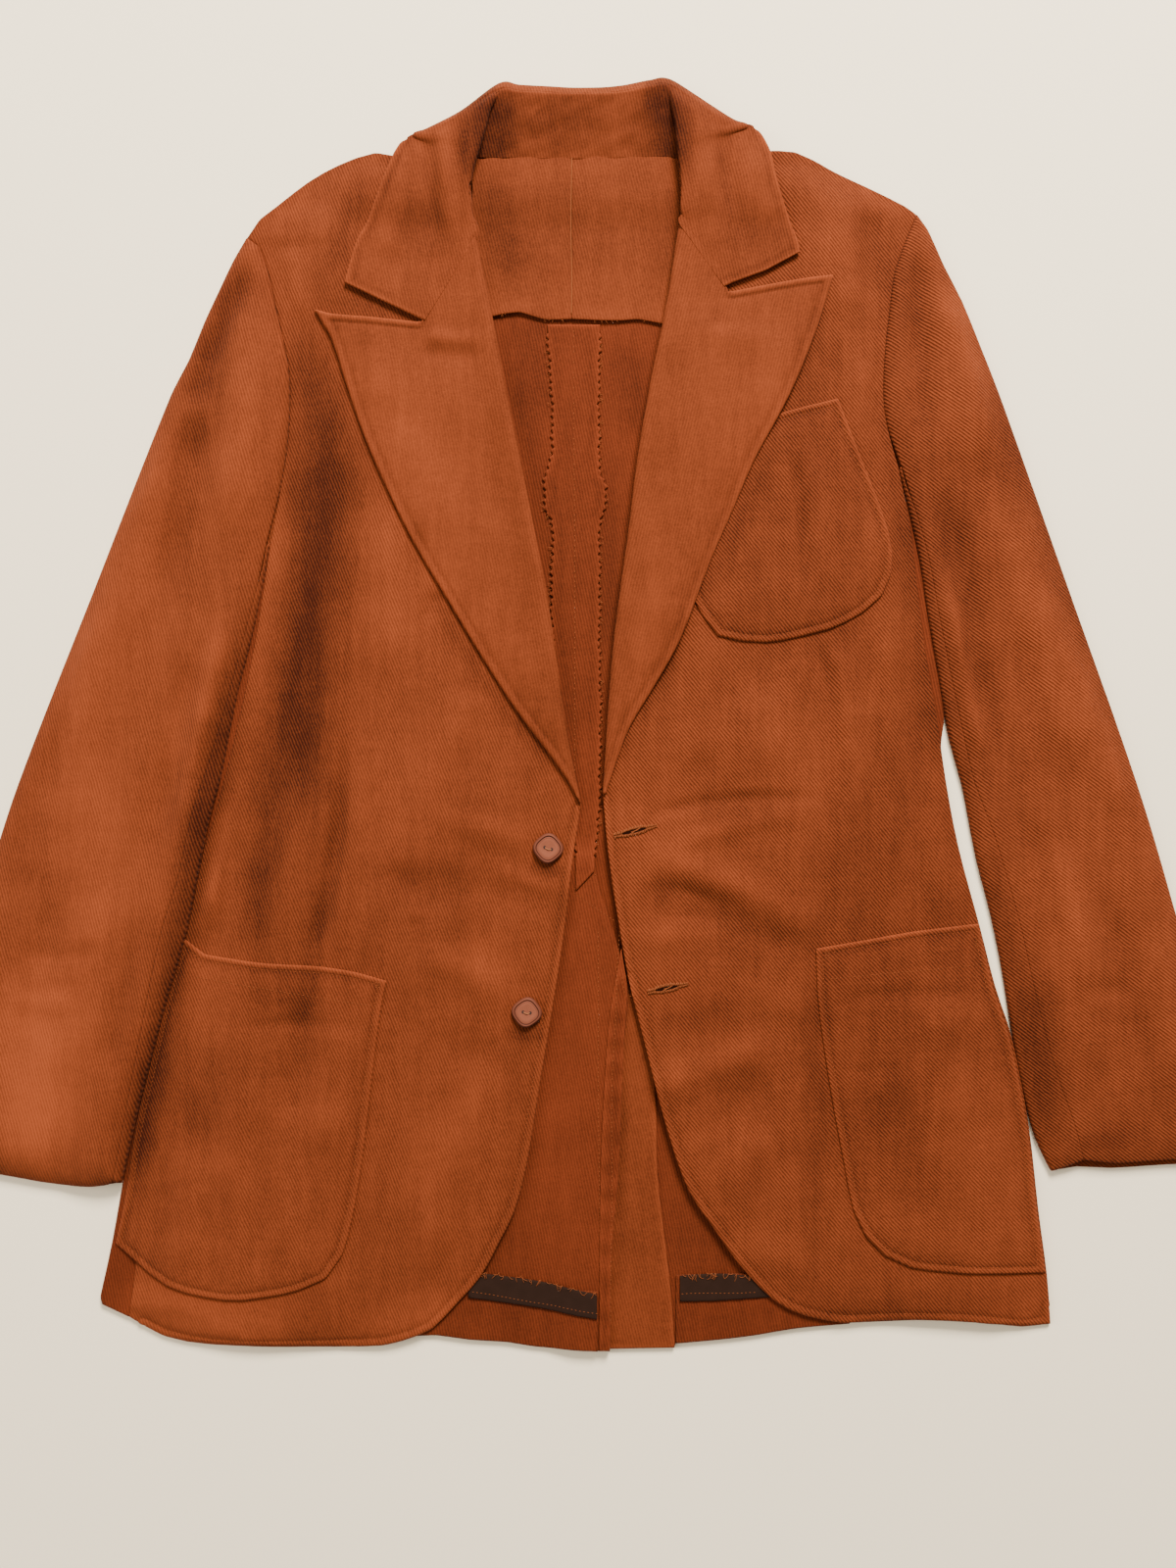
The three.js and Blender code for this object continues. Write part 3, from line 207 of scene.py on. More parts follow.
FOLDS_LAPEL_RIGHT = [
    (-98, 250, -85.5, 245, -56, 246, 3.8, 1.69),
    (-102, 242, -85.5, 234.5, -57.5, 236, 3.8, -1.17),
    (-134, 237, -108.5, 179.5, -70, 109, 11.5, 1.3),
    (-57.5, 198.5, -44.5, 134.5, -26.5, 58, 9, -1.04),
    (-44.5, 58, -28.5, 19.5, -12.5, -25.5, 7.7, 1.3),
]
FOLDS_LAPEL_LEFT = [
    (134.5, 256.5, 115.5, 198.5, 83.5, 134.5, 12.8, 1.17),
    (64.5, 256.5, 58, 198.5, 50, 134.5, 7.7, -1.04),
    (58, 122, 47.5, 77, 38.5, 26, 9, 1.17),
    (70.5, 256.5, 96.5, 246.5, 128.5, 250, 6.4, 1.04),
]
FOLDS_HIP_POCKET_RIGHT = [
    (-224, -201, -178, -200.5, -132, -203, 3.2, -0.9),
]
FOLDS_HIP_POCKET_LEFT = [
    (163, -184, 218, -181, 270, -181.5, 3.8, -0.9),
    (173, -232, 195, -231, 218, -230, 3.2, -0.7),
]

# Darker and lighter areas of the cloth, in the same columns: "height" is the change of tone. Most are
# painted shade and light: shade beside the sleeves, under the lapels' edges, round the buttons and along
# deep folds; the pale strokes along the hem are worn cloth.
TONES_OUTER = [
    (-159.5, 243.5, -174, 109, -195.5, -38, 10.2, -0.24),
    (-153.5, 256.5, -169.5, 83.5, -209.5, -198, 25.6, -0.15),
    (-230, -172.5, -191.5, -179, -156.5, -185.5, 14.1, -0.18),
    (-223.5, -204.5, -235, -249.5, -246.5, -294, 21.8, -0.12),
    (134.5, 307.5, 134.5, 243.5, 131.5, 173, 15.4, -0.16),
    (198.5, 26, 202.5, -44.5, 192.5, -115, 24.3, -0.12),
    (198.5, -217.5, 200, -275, 192.5, -339, 33.3, -0.12),
    (-209.5, -76.5, -209.5, -121.5, -212, -163, 7.7, -0.3),
    (-235, 0.5, -241.5, -38, -258, -147, 9.6, -0.26),
    (-124.5, 307.5, -121.5, 262.5, -95.5, 211.5, 35.8, -0.14),
    (-270, -191.5, -281.5, -255.5, -290, -323, 8.3, -0.34),
    (-313.5, 45, -335, -63.5, -340, -108.5, 21.8, 0.18),
    (-339, -172.5, -344, -236.5, -337.5, -294, 28.2, 0.14),
    (253, 256.5, 307.5, 122, 375.5, -38, 16.6, -0.2),
    (298.5, -108.5, 302.5, -223.5, 306, -281.5, 9, -0.14),
    (-351.5, -57.5, -351.5, -211, -351.5, -339, 19.2, 0.1),
    (173, 224.5, 166.5, 109, 186, -19, 47.4, -0.2),
    (83.5, -63.5, 173, -172.5, 224.5, -287.5, 53.8, -0.17),
    (288.5, -147, 302.5, -223.5, 307.5, -294, 10.2, -0.24),
    (-307, -372, -255.5, -390, -166, -390, 15.4, 0.26),
    (-153.5, -398, -89.5, -393.5, -44.5, -380.5, 9, 0.14),
    (-29, -90.5, -21.5, -101, -8.5, -95.5, 4.5, -0.3),
    (-43, -198, -34, -208.5, -21.5, -203, 4.5, -0.3),
    (32.5, -111.5, 64.5, -108.5, 96.5, -95.5, 6.4, -0.12),
    (46.5, -198, 77, -195.5, 109, -185.5, 5.8, -0.1),
    (6.5, -172.5, 14.5, -198, 32.5, -236.5, 4.5, 0.12),
    (-137.5, 352.5, -153.5, 314, -174, 256.5, 7.7, -0.18),
    (-179, 262.5, -169.5, 211.5, -166, 166.5, 9, -0.12),
    (-209.5, 307.5, -227, 243.5, -252, 160.5, 12.8, -0.14),
    (-209.5, 90, -246, -76.5, -289, -316.5, 7, -0.42),
    (-166, -102, -174, -163, -183.5, -243, 5.8, -0.18),
    (-217.5, -179, -223.5, -236.5, -233.5, -294, 17.9, -0.12),
    (-95.5, -332.5, -121.5, -326, -153.5, -339, 9, -0.08),
    (-54, -211, -79.5, -268.5, -108.5, -326, 10.2, 0.14),
    (-153.5, 211.5, -121.5, 134.5, -95.5, 83.5, 3.8, -0.1),
    (-105.5, 102.5, -57.5, 19.5, 0.5, -47.5, 4.5, -0.17),
    (144.5, 218, 115.5, 147.5, 74, 58, 6.4, -0.2),
    (77, 64.5, 45, 6.5, 24.5, -35, 4.5, -0.12),
    (-147, 275.5, -127.5, 268, -102, 256.5, 5.1, -0.12),
    (109, 26, 112.5, -31.5, 106, -89.5, 10.2, -0.1),
    (64.5, -67, 109, -65, 163.5, -60.5, 7.7, -0.1),
    (186, -12.5, 179.5, -83, 154, -172.5, 14.1, -0.13),
    (152.5, -156.5, 154, -236.5, 157, -364.5, 6.4, -0.15),
    (198.5, -223.5, 224.5, -211, 256.5, -230, 12.8, -0.08),
    (109, -275, 128.5, -281.5, 160.5, -268.5, 9, -0.08),
    (237, -70, 253, -172.5, 275.5, -243, 15.4, -0.11),
    (128.5, -390, 198.5, -387, 307.5, -380.5, 9, -0.1),
    (208.5, 186, 227.5, 51.5, 256.5, -83, 7.7, -0.18),
    (262.5, -70, 288.5, -172.5, 309, -294, 6.4, -0.14),
    (250, 90, 253, 19.5, 262.5, -51, 5.1, -0.09),
    (214.5, 326.5, 208.5, 275.5, 202, 192.5, 7.7, -0.12),
    (-364.5, -147, -355.5, -223.5, -364.5, -307, 28.2, 0.24),
    (-249.5, 58, -262, -19, -281.5, -83, 7.7, 0.1),
    (-297.5, -6, -310, -108.5, -326, -179, 19.2, 0.1),
    (-332.5, -57.5, -345.5, -89.5, -351.5, -115, 12.8, -0.1),
    (-89.5, 26, -108.5, -44.5, -121.5, -115, 25.6, 0.07),
    (-70, -140.5, -57.5, -159.5, -28.5, -169.5, 10.2, 0.1),
    (-11, -108.5, -7.5, -127.5, -6, -143.5, 4.5, -0.16),
    (-124.5, -83, -95.5, -95.5, -57.5, -108.5, 7.7, -0.07),
    (-121.5, -371, -95.5, -383.5, -70, -377.5, 9, 0.08),
    (83.5, -249.5, 96.5, -268.5, 109, -255.5, 12.8, 0.08),
    (378, -268.5, 346, -275, 320.5, -278, 5.1, -0.12),
    (13, -287.5, 15.5, -294, 18, -300.5, 2.6, -0.1),
]
# Mostly painted light on the lapels' rolls and ridges, with a little painted shade.
TONES_LAPEL = [
    (-31.5, 160.5, -19, 83.5, -7.5, 0.5, 5.8, 0.09),
    (-76.5, 310.5, -86, 291.5, -97, 272.5, 4.5, 0.08),
    (-44.5, 32.5, -25.5, 3.5, -9.5, -22, 9, -0.07),
    (-127.5, 230.5, -115, 198.5, -102, 166.5, 9, 0.06),
    (58, 109, 45, 58, 32.5, 6.5, 9, 0.09),
    (70.5, 250, 83.5, 256.5, 99.5, 264, 5.1, -0.07),
]
# Painted shade in the collar's inner corners, along its stand and by the notches.
TONES_COLLAR = [
    (-52, 410, -58, 378, -64.5, 336.5, 11.5, -0.8),
    (40, 410, 58, 387.5, 63, 336.5, 10.2, -0.7),
    (-31.5, 392, -19, 385.5, 32.5, 389.5, 10.2, -0.2),
    (-124.5, 323.5, -102, 317, -76.5, 310.5, 16.6, -0.12),
    (93, 339.5, 115.5, 314, 134.5, 300, 14.1, -0.14),
    (-113.5, 371.5, -127.5, 336.5, -145.5, 291.5, 2.6, -0.1),
    (6.5, 408.5, 19.5, 411, 38.5, 410, 5.8, -0.08),
    (93, 275.5, 122, 291, 150.5, 301, 4.5, -0.14),
    (-134, 371.5, -121.5, 339.5, -127.5, 307.5, 9, -0.04),
    (-95.5, 365, -92, 339.5, -89.5, 314, 3.8, -0.08),
    (90, 378, 95, 346, 99.5, 320.5, 4.5, -0.08),
]
# Dark strokes here are painted shade under the collar and facings and beside the centre strip; the light
# stroke at the hem corner is worn cloth.
TONES_INSIDE = [
    (-33, 269, -28.5, 237, -24, 192.5, 9, -0.17),
    (30, 256.5, 35.5, 211.5, 32.5, 179.5, 10.9, -0.2),
    (21, 186, 21, 109, 19.5, 19.5, 5.1, -0.16),
    (-47.5, 243.5, -31.5, 179.5, -17.5, 96.5, 6.4, -0.15),
    (27, -223.5, 28.5, -300.5, 27, -377.5, 3.8, -0.17),
    (38.5, -268.5, 45, -319.5, 48.5, -371, 10.2, -0.07),
    (-59, 365, -52, 320.5, -38, 269, 10.2, -0.26),
    (65.5, 362, 60.5, 314, 47.5, 269, 9, -0.2),
    (-19, 358.5, -9.5, 320.5, 0.5, 275.5, 38.4, -0.12),
    (-341.5, -326, -309.5, -372, -268.5, -423.5, 23, 0.44),
    (-44.5, -223.5, -19, -300.5, 6.5, -390, 29.4, 0.12),
    (-57.5, 371.5, -6, 364, 58, 371.5, 4.5, -0.05),
    (0.5, -147, 6.5, -204.5, 0.5, -275, 15.4, 0.05),
]

# One row per section of the collar, from the right notch round the neck to the left notch:
# seam n, roll r, turn round the shoulder s, free edge e. A height of 0 rests on the front.
COLLAR_COLUMNS = (
    "nx", "ny", "nz", "rx", "ry", "rz", "rb", "sx", "sy", "sz", "sb", "ex", "ey", "ez",
)
COLLAR_ROWS = [
    (-101.5, 258, 0, -104, 259, 0, 0, -127.5, 270, 0, 0, -152, 281.5, 0),
    (-89.5, 277, 0, -92, 277.5, 0, 0, -118.5, 285, 0, 0, -149, 293.5, 0),
    (-78, 295.5, 0, -80.5, 296, 0, 0, -111, 302, 0, 0, -144.5, 309, 0),
    (-66, 314, 0, -69, 314, 0, 0, -103.5, 318, 0, 0, -137.6, 321.5, 0),
    (-72, 328.5, 0, -69.5, 328.5, 11.5, 1.8, -102, 335, 11, 0, -131, 337.5, 0),
    (-78, 344.5, 0, -70, 344.5, 12.6, 2.4, -101, 351, 11.5, 0, -124.8, 353.5, 0),
    (-75, 353.5, 0, -68.5, 353.5, 13, 2.4, -104, 363, 11, 0, -119.5, 366, 0),
    (-71.5, 360.5, 0, -66, 362, 13.6, 2.4, -109.5, 374.6, 8.6, 0, -114, 374.2, 6),
    (-68, 364, 3, -63.5, 370, 13.9, 2.5, -104.5, 379.2, 7.8, 2.2, -107, 374.5, 3),
    (-64.5, 364.5, 5.1, -61, 378, 14.2, 2.6, -96.5, 382.6, 7, 3.4, -101, 369, 1.2),
    (-59, 364, 4.5, -56.5, 393.5, 14.6, 2.6, -75, 393.8, 7.2, 5, -88, 360, 1.2),
    (-51.5, 364, 4.3, -49, 403, 14.2, 0, -51, 411, 7.5, 5.6, -62.5, 357, 1.2),
    (-38, 364, 4.3, -38, 402, 14.2, 0, -38, 410, 7.4, 5.6, -38, 356, 1.2),
    (-19, 363.5, 4.3, -19, 401, 14, 0, -19, 409, 7.4, 5.6, -19, 355.5, 1.2),
    (6.5, 363.5, 4.3, 6.5, 400.5, 14, 0, 6.5, 408, 7.4, 5.6, 6.5, 355.5, 1.2),
    (27, 364, 4.3, 28.5, 401.5, 14.2, 0, 28.5, 409.5, 7.4, 5.6, 27, 356, 1.2),
    (45, 364.5, 4.3, 46.5, 405, 14.4, 0, 46.5, 413, 7.5, 5.7, 42.5, 357, 1.2),
    (57.5, 364.5, 4.3, 58, 405.5, 14.4, 0, 60, 413.5, 7.5, 5.7, 62, 357.5, 1.2),
    (61, 364.5, 4.5, 62, 393.5, 14.8, 2.6, 85, 398, 7.2, 5, 81, 360, 1.2),
    (67, 364.5, 5.1, 64.5, 378, 14.2, 2.6, 101, 388, 7, 3.4, 102.5, 374, 1.2),
    (69.5, 364.5, 3, 65.2, 371, 13.9, 2.5, 108.5, 384.8, 7.8, 2.2, 110, 380, 3),
    (72.5, 361.5, 0, 66, 364, 13.6, 2.4, 113, 381.6, 8.6, 0, 117.5, 381, 6),
    (75, 352.5, 0, 67, 352.5, 13, 2.4, 107, 366, 11, 0, 125, 367, 0),
    (74.5, 339.5, 0, 67, 339.5, 12.6, 2.4, 101.5, 351, 11.5, 0, 129, 350, 0),
    (70, 327.5, 0, 67, 327.5, 11.5, 1.8, 102.5, 334.5, 11, 0, 134, 333, 0),
    (67.5, 320.5, 0, 70, 320.5, 0, 0, 104, 319.5, 0, 0, 138, 322, 0),
    (77, 307, 0, 79.5, 307.5, 0, 0, 109, 309, 0, 0, 141, 314, 0),
    (87.5, 293.5, 0, 90, 294.5, 0, 0, 115.5, 298.5, 0, 0, 143.5, 307.5, 0),
    (97.5, 280, 0, 100, 281.5, 0, 0, 122, 289, 0, 0, 144.5, 300.5, 0),
]

# The cut of each piece that shows: width and length in millimetres.
CUT = {
    "back_right": (315, 785),
    "back_left": (315, 785),
    "neck_facing_right": (68, 110),
    "neck_facing_left": (80, 112),
    "centre_seam_strip": (42, 354),
    "vent_hem_right": (19, 264),
    "vent_facing_left": (58, 270),
    "hem_turnup_right": (120, 49),
    "hem_turnup_left": (115, 48),
    "hem_tape_right": (86, 30),
    "hem_tape_left": (63, 19),
    "front_right": (298, 785),
    "front_left": (296, 770),
    "chest_pocket": (136, 161),
    "hip_pocket_right": (180, 237),
    "hip_pocket_left": (153, 230),
    "lapel_right": (175, 373),
    "lapel_left": (151, 374),
    "collar": (460, 105),
    "sleeve_under_right": (200, 655),
    "sleeve_top_right": (190, 655),
    "sleeve_under_left": (200, 655),
    "sleeve_top_left": (190, 655),
}
# The flat area of the collar in square millimetres, as it is folded in its outline.
COLLAR_AREA = 38000


def ramp(v, a, b):
    """0 at a, 1 at b, without a kink."""
    t = np.clip((v - a) / (b - a), 0, 1)
    return t * t * (3 - 2 * t)


def unevenness(x, y, wavelength, seed):
    """Smooth pseudo-random waves between about -1 and 1."""
    rng = np.random.default_rng(seed)
    total = np.zeros_like(x, dtype=float)
    for _ in range(9):
        angle = rng.uniform(0, 2 * math.pi)
        length = wavelength * rng.uniform(0.6, 1.7)
        phase = rng.uniform(0, 2 * math.pi)
        along = x * math.cos(angle) + y * math.sin(angle)
        total += np.sin(2 * math.pi * along / length + phase)
    return total / 4.2


def nearest_on_path(path, x, y):
    """Distance to a path, place along it from 0 to 1, and the side."""
    a = path[:-1]
    d = path[1:] - a
    length2 = np.maximum((d**2).sum(1), 1e-9)
    rx = x[:, None] - a[:, 0]
    ry = y[:, None] - a[:, 1]
    t = np.clip((rx * d[:, 0] + ry * d[:, 1]) / length2, 0, 1)
    gap2 = (rx - t * d[:, 0]) ** 2 + (ry - t * d[:, 1]) ** 2
    k = gap2.argmin(1)
    rows = np.arange(len(x))
    side = np.sign(d[k, 0] * ry[rows, k] - d[k, 1] * rx[rows, k])
    return np.sqrt(gap2[rows, k]), (k + t[rows, k]) / len(a), side


def distance_to(path, x, y, block=4000):
    """Distance of many points to a path, in blocks that bound the memory."""
    out = np.empty(len(x))
    for i in range(0, len(x), block):
        out[i : i + block] = nearest_on_path(path, x[i : i + block], y[i : i + block])[0]
    return out


def fold_height(rows, x, y, fade=0.28, wander=1):
    """The sum of a table's ridges and troughs at each point."""
    height = np.zeros_like(x, dtype=float)
    for number, row in enumerate(rows):
        f = dict(zip(FOLD_COLUMNS, row))
        p0 = np.array([f["x0"], f["y0"]])
        pm = np.array([f["xm"], f["ym"]])
        p1 = np.array([f["x1"], f["y1"]])
        bend = 2 * pm - (p0 + p1) / 2
        t = np.linspace(0, 1, 9)[:, None]
        path = (1 - t) ** 2 * p0 + 2 * t * (1 - t) * bend + t**2 * p1
        reach = 3.4 * f["half"]
        near = (
            (x > path[:, 0].min() - reach) & (x < path[:, 0].max() + reach)
            & (y > path[:, 1].min() - reach) & (y < path[:, 1].max() + reach)
        )
        if not near.any():
            continue
        gap, along, side = nearest_on_path(path, x[near], y[near])
        half = f["half"] * (1 + 0.45 * f.get("lean", 0) * side)
        ends = ramp(along, 0, fade) * (1 - ramp(along, 1 - fade, 1))
        uneven = 0.2 * np.sin(6.1 * along + number) + 0.12 * np.sin(15.7 * along + 2.3 * number)
        height[near] += f["height"] * ends * (1 + wander * uneven) * 0.5 ** ((gap / half) ** 2)
    return height


def stroke_tone(rows, x, y):
    return fold_height(rows, x, y, fade=0.32, wander=0.15)


def boundary_loops(node, facing):
    """The outlines of a CAD node's upper or lower faces, seen from above, largest first."""
    mesh = NODES[node].data
    points = {}
    ids = []
    for v in mesh.vertices:
        key = tuple(round(c / MM, 2) for c in v.co)
        ids.append(points.setdefault(key, len(points)))
    places = np.array(list(points))
    edges = {}
    for polygon in mesh.polygons:
        if polygon.normal.z * facing < 0.5:
            continue
        corners = [ids[v] for v in polygon.vertices]
        for a, b in zip(corners, corners[1:] + corners[:1]):
            if a != b:
                edges[(a, b)] = True
    following = {}
    for a, b in edges:
        if (b, a) not in edges:
            following.setdefault(a, []).append(b)
    loops = []
    while following:
        start = next(iter(following))
        chain = [start]
        here = start
        while here in following:
            step = following[here].pop()
            if not following[here]:
                del following[here]
            here = step
            if here == start:
                break
            chain.append(here)
        if len(chain) > 3:
            loops.append(places[chain][:, :2])
    loops.sort(key=lambda loop: -abs(area_of(loop)))
    return [loop if area_of(loop) > 0 else loop[::-1] for loop in loops]


def area_of(loop):
    x, y = loop[:, 0], loop[:, 1]
    return 0.5 * float((x * np.roll(y, -1) - y * np.roll(x, -1)).sum())


def split_long(points, longest):
    """A closed line whose pieces are no longer than longest."""
    out = []
    for a, b in zip(points, np.roll(points, -1, axis=0)):
        count = max(1, math.ceil(np.linalg.norm(b - a) / longest))
        out.extend(a + (b - a) * k / count for k in range(count))
    return np.array(out)


def rounded(loop, spacing, corner_degrees=38):
    """Smooths a closed line, keeps its corners and spaces its points evenly."""
    keep = np.linalg.norm(loop - np.roll(loop, 1, axis=0), axis=1) > 0.25
    points = split_long(loop[keep], 7.0)
    for _ in range(3):
        before = points - np.roll(points, 1, axis=0)
        after = np.roll(points, -1, axis=0) - points
        turn = np.degrees(np.abs(
            np.arctan2(
                before[:, 0] * after[:, 1] - before[:, 1] * after[:, 0], (before * after).sum(1)
            )
        ))
        sharp = turn > corner_degrees
        out = []
        for k, p in enumerate(points):
            if sharp[k]:
                out.append(p)
            else:
                out.append(p - before[k] * 0.25)
                out.append(p + after[k] * 0.25)
        points = np.array(out)
    points = split_long(merge_close(points, spacing * 0.6), spacing)
    return points - inward_of(points) * SEAM_CLOSE


def grown(loop, amount):
    return loop - inward_of(loop) * amount


def inward_of(loop):
    """The direction into a closed line at each of its points."""
    before = loop - np.roll(loop, 1, axis=0)
    after = np.roll(loop, -1, axis=0) - loop
    along = before / np.linalg.norm(before, axis=1)[:, None]
    along = along + after / np.linalg.norm(after, axis=1)[:, None]
    along /= np.maximum(np.linalg.norm(along, axis=1), 1e-6)[:, None]
    return np.stack([-along[:, 1], along[:, 0]], 1)


def merge_close(points, shortest):
    out = [points[0]]
    for p in points[1:]:
        if np.linalg.norm(p - out[-1]) >= shortest:
            out.append(p)
    return np.array(out)


def closed(loop):
    return np.vstack([loop, loop[:1]])


def inside(loop, x, y, block=4000):
    """Whether points lie in a closed line."""
    a = loop
    b = np.roll(loop, -1, axis=0)
    out = np.empty(len(x), bool)
    for i in range(0, len(x), block):
        xx = x[i : i + block, None]
        yy = y[i : i + block, None]
        spans = (a[:, 1] > yy) != (b[:, 1] > yy)
        with np.errstate(divide="ignore", invalid="ignore"):
            cross = (b[:, 0] - a[:, 0]) * (yy - a[:, 1]) / (b[:, 1] - a[:, 1]) + a[:, 0]
        out[i : i + block] = ((xx < cross) & spans).sum(1) % 2 == 1
    return out


def edge_x(loop, y, left):
    """The x of a closed line's left or right side at each y."""
    levels = np.arange(loop[:, 1].min() + 0.5, loop[:, 1].max(), 3.0)
    a = loop
    b = np.roll(loop, -1, axis=0)
    values = []
    for level in levels:
        spans = (a[:, 1] > level) != (b[:, 1] > level)
        s, e = a[spans], b[spans]
        cross = s[:, 0] + (level - s[:, 1]) / (e[:, 1] - s[:, 1]) * (e[:, 0] - s[:, 0])
        values.append(cross.min() if left else cross.max())
    return np.interp(y, levels, values)


def triangulate(loop, pitch, rings):
    """Points and triangles inside a closed line, with rows of points along its edge."""
    inward = inward_of(loop)
    outline = closed(loop)
    extra = []
    for ring in rings:
        q = loop + inward * ring
        fits = inside(loop, q[:, 0], q[:, 1]) & (distance_to(outline, q[:, 0], q[:, 1]) > 0.93 * ring)
        extra.append(q[fits])
    low, high = loop.min(0), loop.max(0)
    columns = np.arange(low[0], high[0], pitch)
    rows = np.arange(low[1], high[1], pitch * 0.866)
    gx, gy = np.meshgrid(columns, rows)
    gx = gx + (np.arange(len(rows)) % 2)[:, None] * pitch / 2
    gx, gy = gx.ravel(), gy.ravel()
    keep = inside(loop, gx, gy)
    gx, gy = gx[keep], gy[keep]
    keep = distance_to(outline, gx, gy) > (rings[-1] if rings else 0) + 0.6 * pitch
    extra.append(np.stack([gx[keep], gy[keep]], 1))
    every = np.vstack([loop] + extra)
    made = delaunay_2d_cdt([Vector(p) for p in every], [], [list(range(len(loop)))], 1, 1e-5)
    points = np.array([tuple(p) for p in made[0]])
    return points, np.array([f for f in made[2] if len(f) == 3], int)


def mesh_object(name, vertices, triangles, attributes=None, smooth=True):
    mesh = bpy.data.meshes.new(name)
    mesh.vertices.add(len(vertices))
    mesh.vertices.foreach_set("co", (np.asarray(vertices, float) * MM).ravel())
    mesh.loops.add(len(triangles) * 3)
    mesh.loops.foreach_set("vertex_index", np.asarray(triangles, np.int32).ravel())
    mesh.polygons.add(len(triangles))
    mesh.polygons.foreach_set("loop_start", np.arange(0, len(triangles) * 3, 3, dtype=np.int32))
    mesh.update(calc_edges=True)
    mesh.polygons.foreach_set("use_smooth", np.full(len(triangles), smooth))
    for key, values in (attributes or {}).items():
        layer = mesh.attributes.new(key, "FLOAT", "POINT")
        layer.data.foreach_set("value", np.asarray(values, np.float32))
    mesh.validate()
    obj = bpy.data.objects.new(name + LOOK, mesh)
    bpy.context.scene.collection.objects.link(obj)
    return obj


def shell(points, triangles, high, low):
    """A closed wall between two heights over the same points."""
    count = len(points)
    vertices = np.vstack([
        np.column_stack([points, high]),
        np.column_stack([points, low]),
    ])
    directed = np.vstack([triangles[:, [0, 1]], triangles[:, [1, 2]], triangles[:, [2, 0]]])
    seen = set(map(tuple, directed))
    rim = np.array([e for e in map(tuple, directed) if (e[1], e[0]) not in seen])
    walls = np.vstack([
        np.column_stack([rim[:, 1], rim[:, 0], rim[:, 0] + count]),
        np.column_stack([rim[:, 1], rim[:, 0] + count, rim[:, 1] + count]),
    ])
    return vertices, np.vstack([triangles, triangles[:, ::-1] + count, walls])


class Edge:
    """How a piece ends: how far its rim drops, and the bead and stitch line along free edges."""

    def __init__(self, drop=0.8, width=1.6, bead=0.0, stitch=4.8, groove=0.35):
        self.drop = drop
        self.width = width
        self.bead = bead
        self.stitch = stitch
        self.groove = groove

    def rings(self):
        near = [0.5, 1.4]
        return near + ([2.8, self.stitch - 0.8, self.stitch, self.stitch + 0.9] if self.bead else [3.2])

    def height(self, d, d_free):
        """Height added near the rim: a full drop at free edges and a shallow one at seams."""
        seam = 1 - np.clip(d / 1.1, 0, 1)
        shape = -0.28 * (1 - np.sqrt(np.clip(1 - seam**2, 0, 1)))
        rim = 1 - np.clip(d_free / self.width, 0, 1)
        shape = shape - self.drop * (1 - np.sqrt(np.clip(1 - rim**2, 0, 1)))
        if self.bead:
            across = np.clip(d_free / self.stitch, 0, 1)
            shape = shape + self.bead * np.sin(math.pi * across) ** 0.8
            shape = shape - self.groove * np.exp(-(((d_free - self.stitch) / 0.7) ** 2))
        return shape


# The height of each piece's upper face and its free edges, for the stitches on it.
TOP = {}
FREE_PARTS = {}
# Painted shade from dark strokes that cross adds up to less than this.
DEEPEST = 0.42


def tone_of(d_free, relief, strokes):
    """How much lighter or darker than plain cloth: wear at edges, painted shade in grooves and hollows,
    painted light on ridges, and the strokes.
    """
    # Edges paler from wear; the dip five millimetres in is painted shade in the stitch groove.
    edge_wear_and_groove_shade = 0.26 * np.exp(-((d_free / 1.5) ** 2)) - 0.10 * np.exp(-(((d_free - 5.0) / 1.0) ** 2))
    soft = np.where(strokes < 0, DEEPEST * (np.exp(strokes / DEEPEST) - 1), strokes)
    # Painted light on ridges and painted shade in hollows, then the strokes' shade and light.
    return edge_wear_and_groove_shade + 0.035 * np.clip(relief, -4, 4) + soft


def flat_piece(name, loop, low_at, thick, edge, free=None, pitch=FINE, relief=None, folds=None,
               tones=()):
    """A cloth piece over a height function, with its rim shaped by edge."""
    outline = closed(loop)
    free_parts = []
    if free is True:
        free_parts = list(zip(outline[:-1], outline[1:]))
    elif free:
        parts = zip(outline[:-1], outline[1:])
        free_parts = [part for part in parts if free(*((part[0] + part[1]) / 2))]

    def measured(x, y):
        d = distance_to(outline, x, y)
        d_free = d if free is True else distance_to_segments(free_parts, x, y)
        low = low_at(x, y)
        lift = relief(x, y) if relief else np.zeros(len(x))
        fine = 0.10 * unevenness(x, y, 17, 5) * ramp(d, 0, 6)
        high = np.maximum(low + thick + edge.height(d, d_free) + lift + fine, low + 0.25)
        return d_free, low, lift, high

    points, triangles = triangulate(loop, pitch, edge.rings())
    x, y = points[:, 0], points[:, 1]
    d_free, low, lift, high = measured(x, y)
    vertices, faces = shell(points, triangles, high, low)
    shape = lift + (fold_height(folds, x, y) if folds else 0)
    tone = tone_of(d_free, shape, stroke_tone(tones, x, y))
    TOP[name] = lambda px, py: measured(np.asarray(px, float), np.asarray(py, float))[3]
    FREE_PARTS[name] = free_parts
    return mesh_object(name, vertices, faces, {"tone": np.tile(tone, 2)})


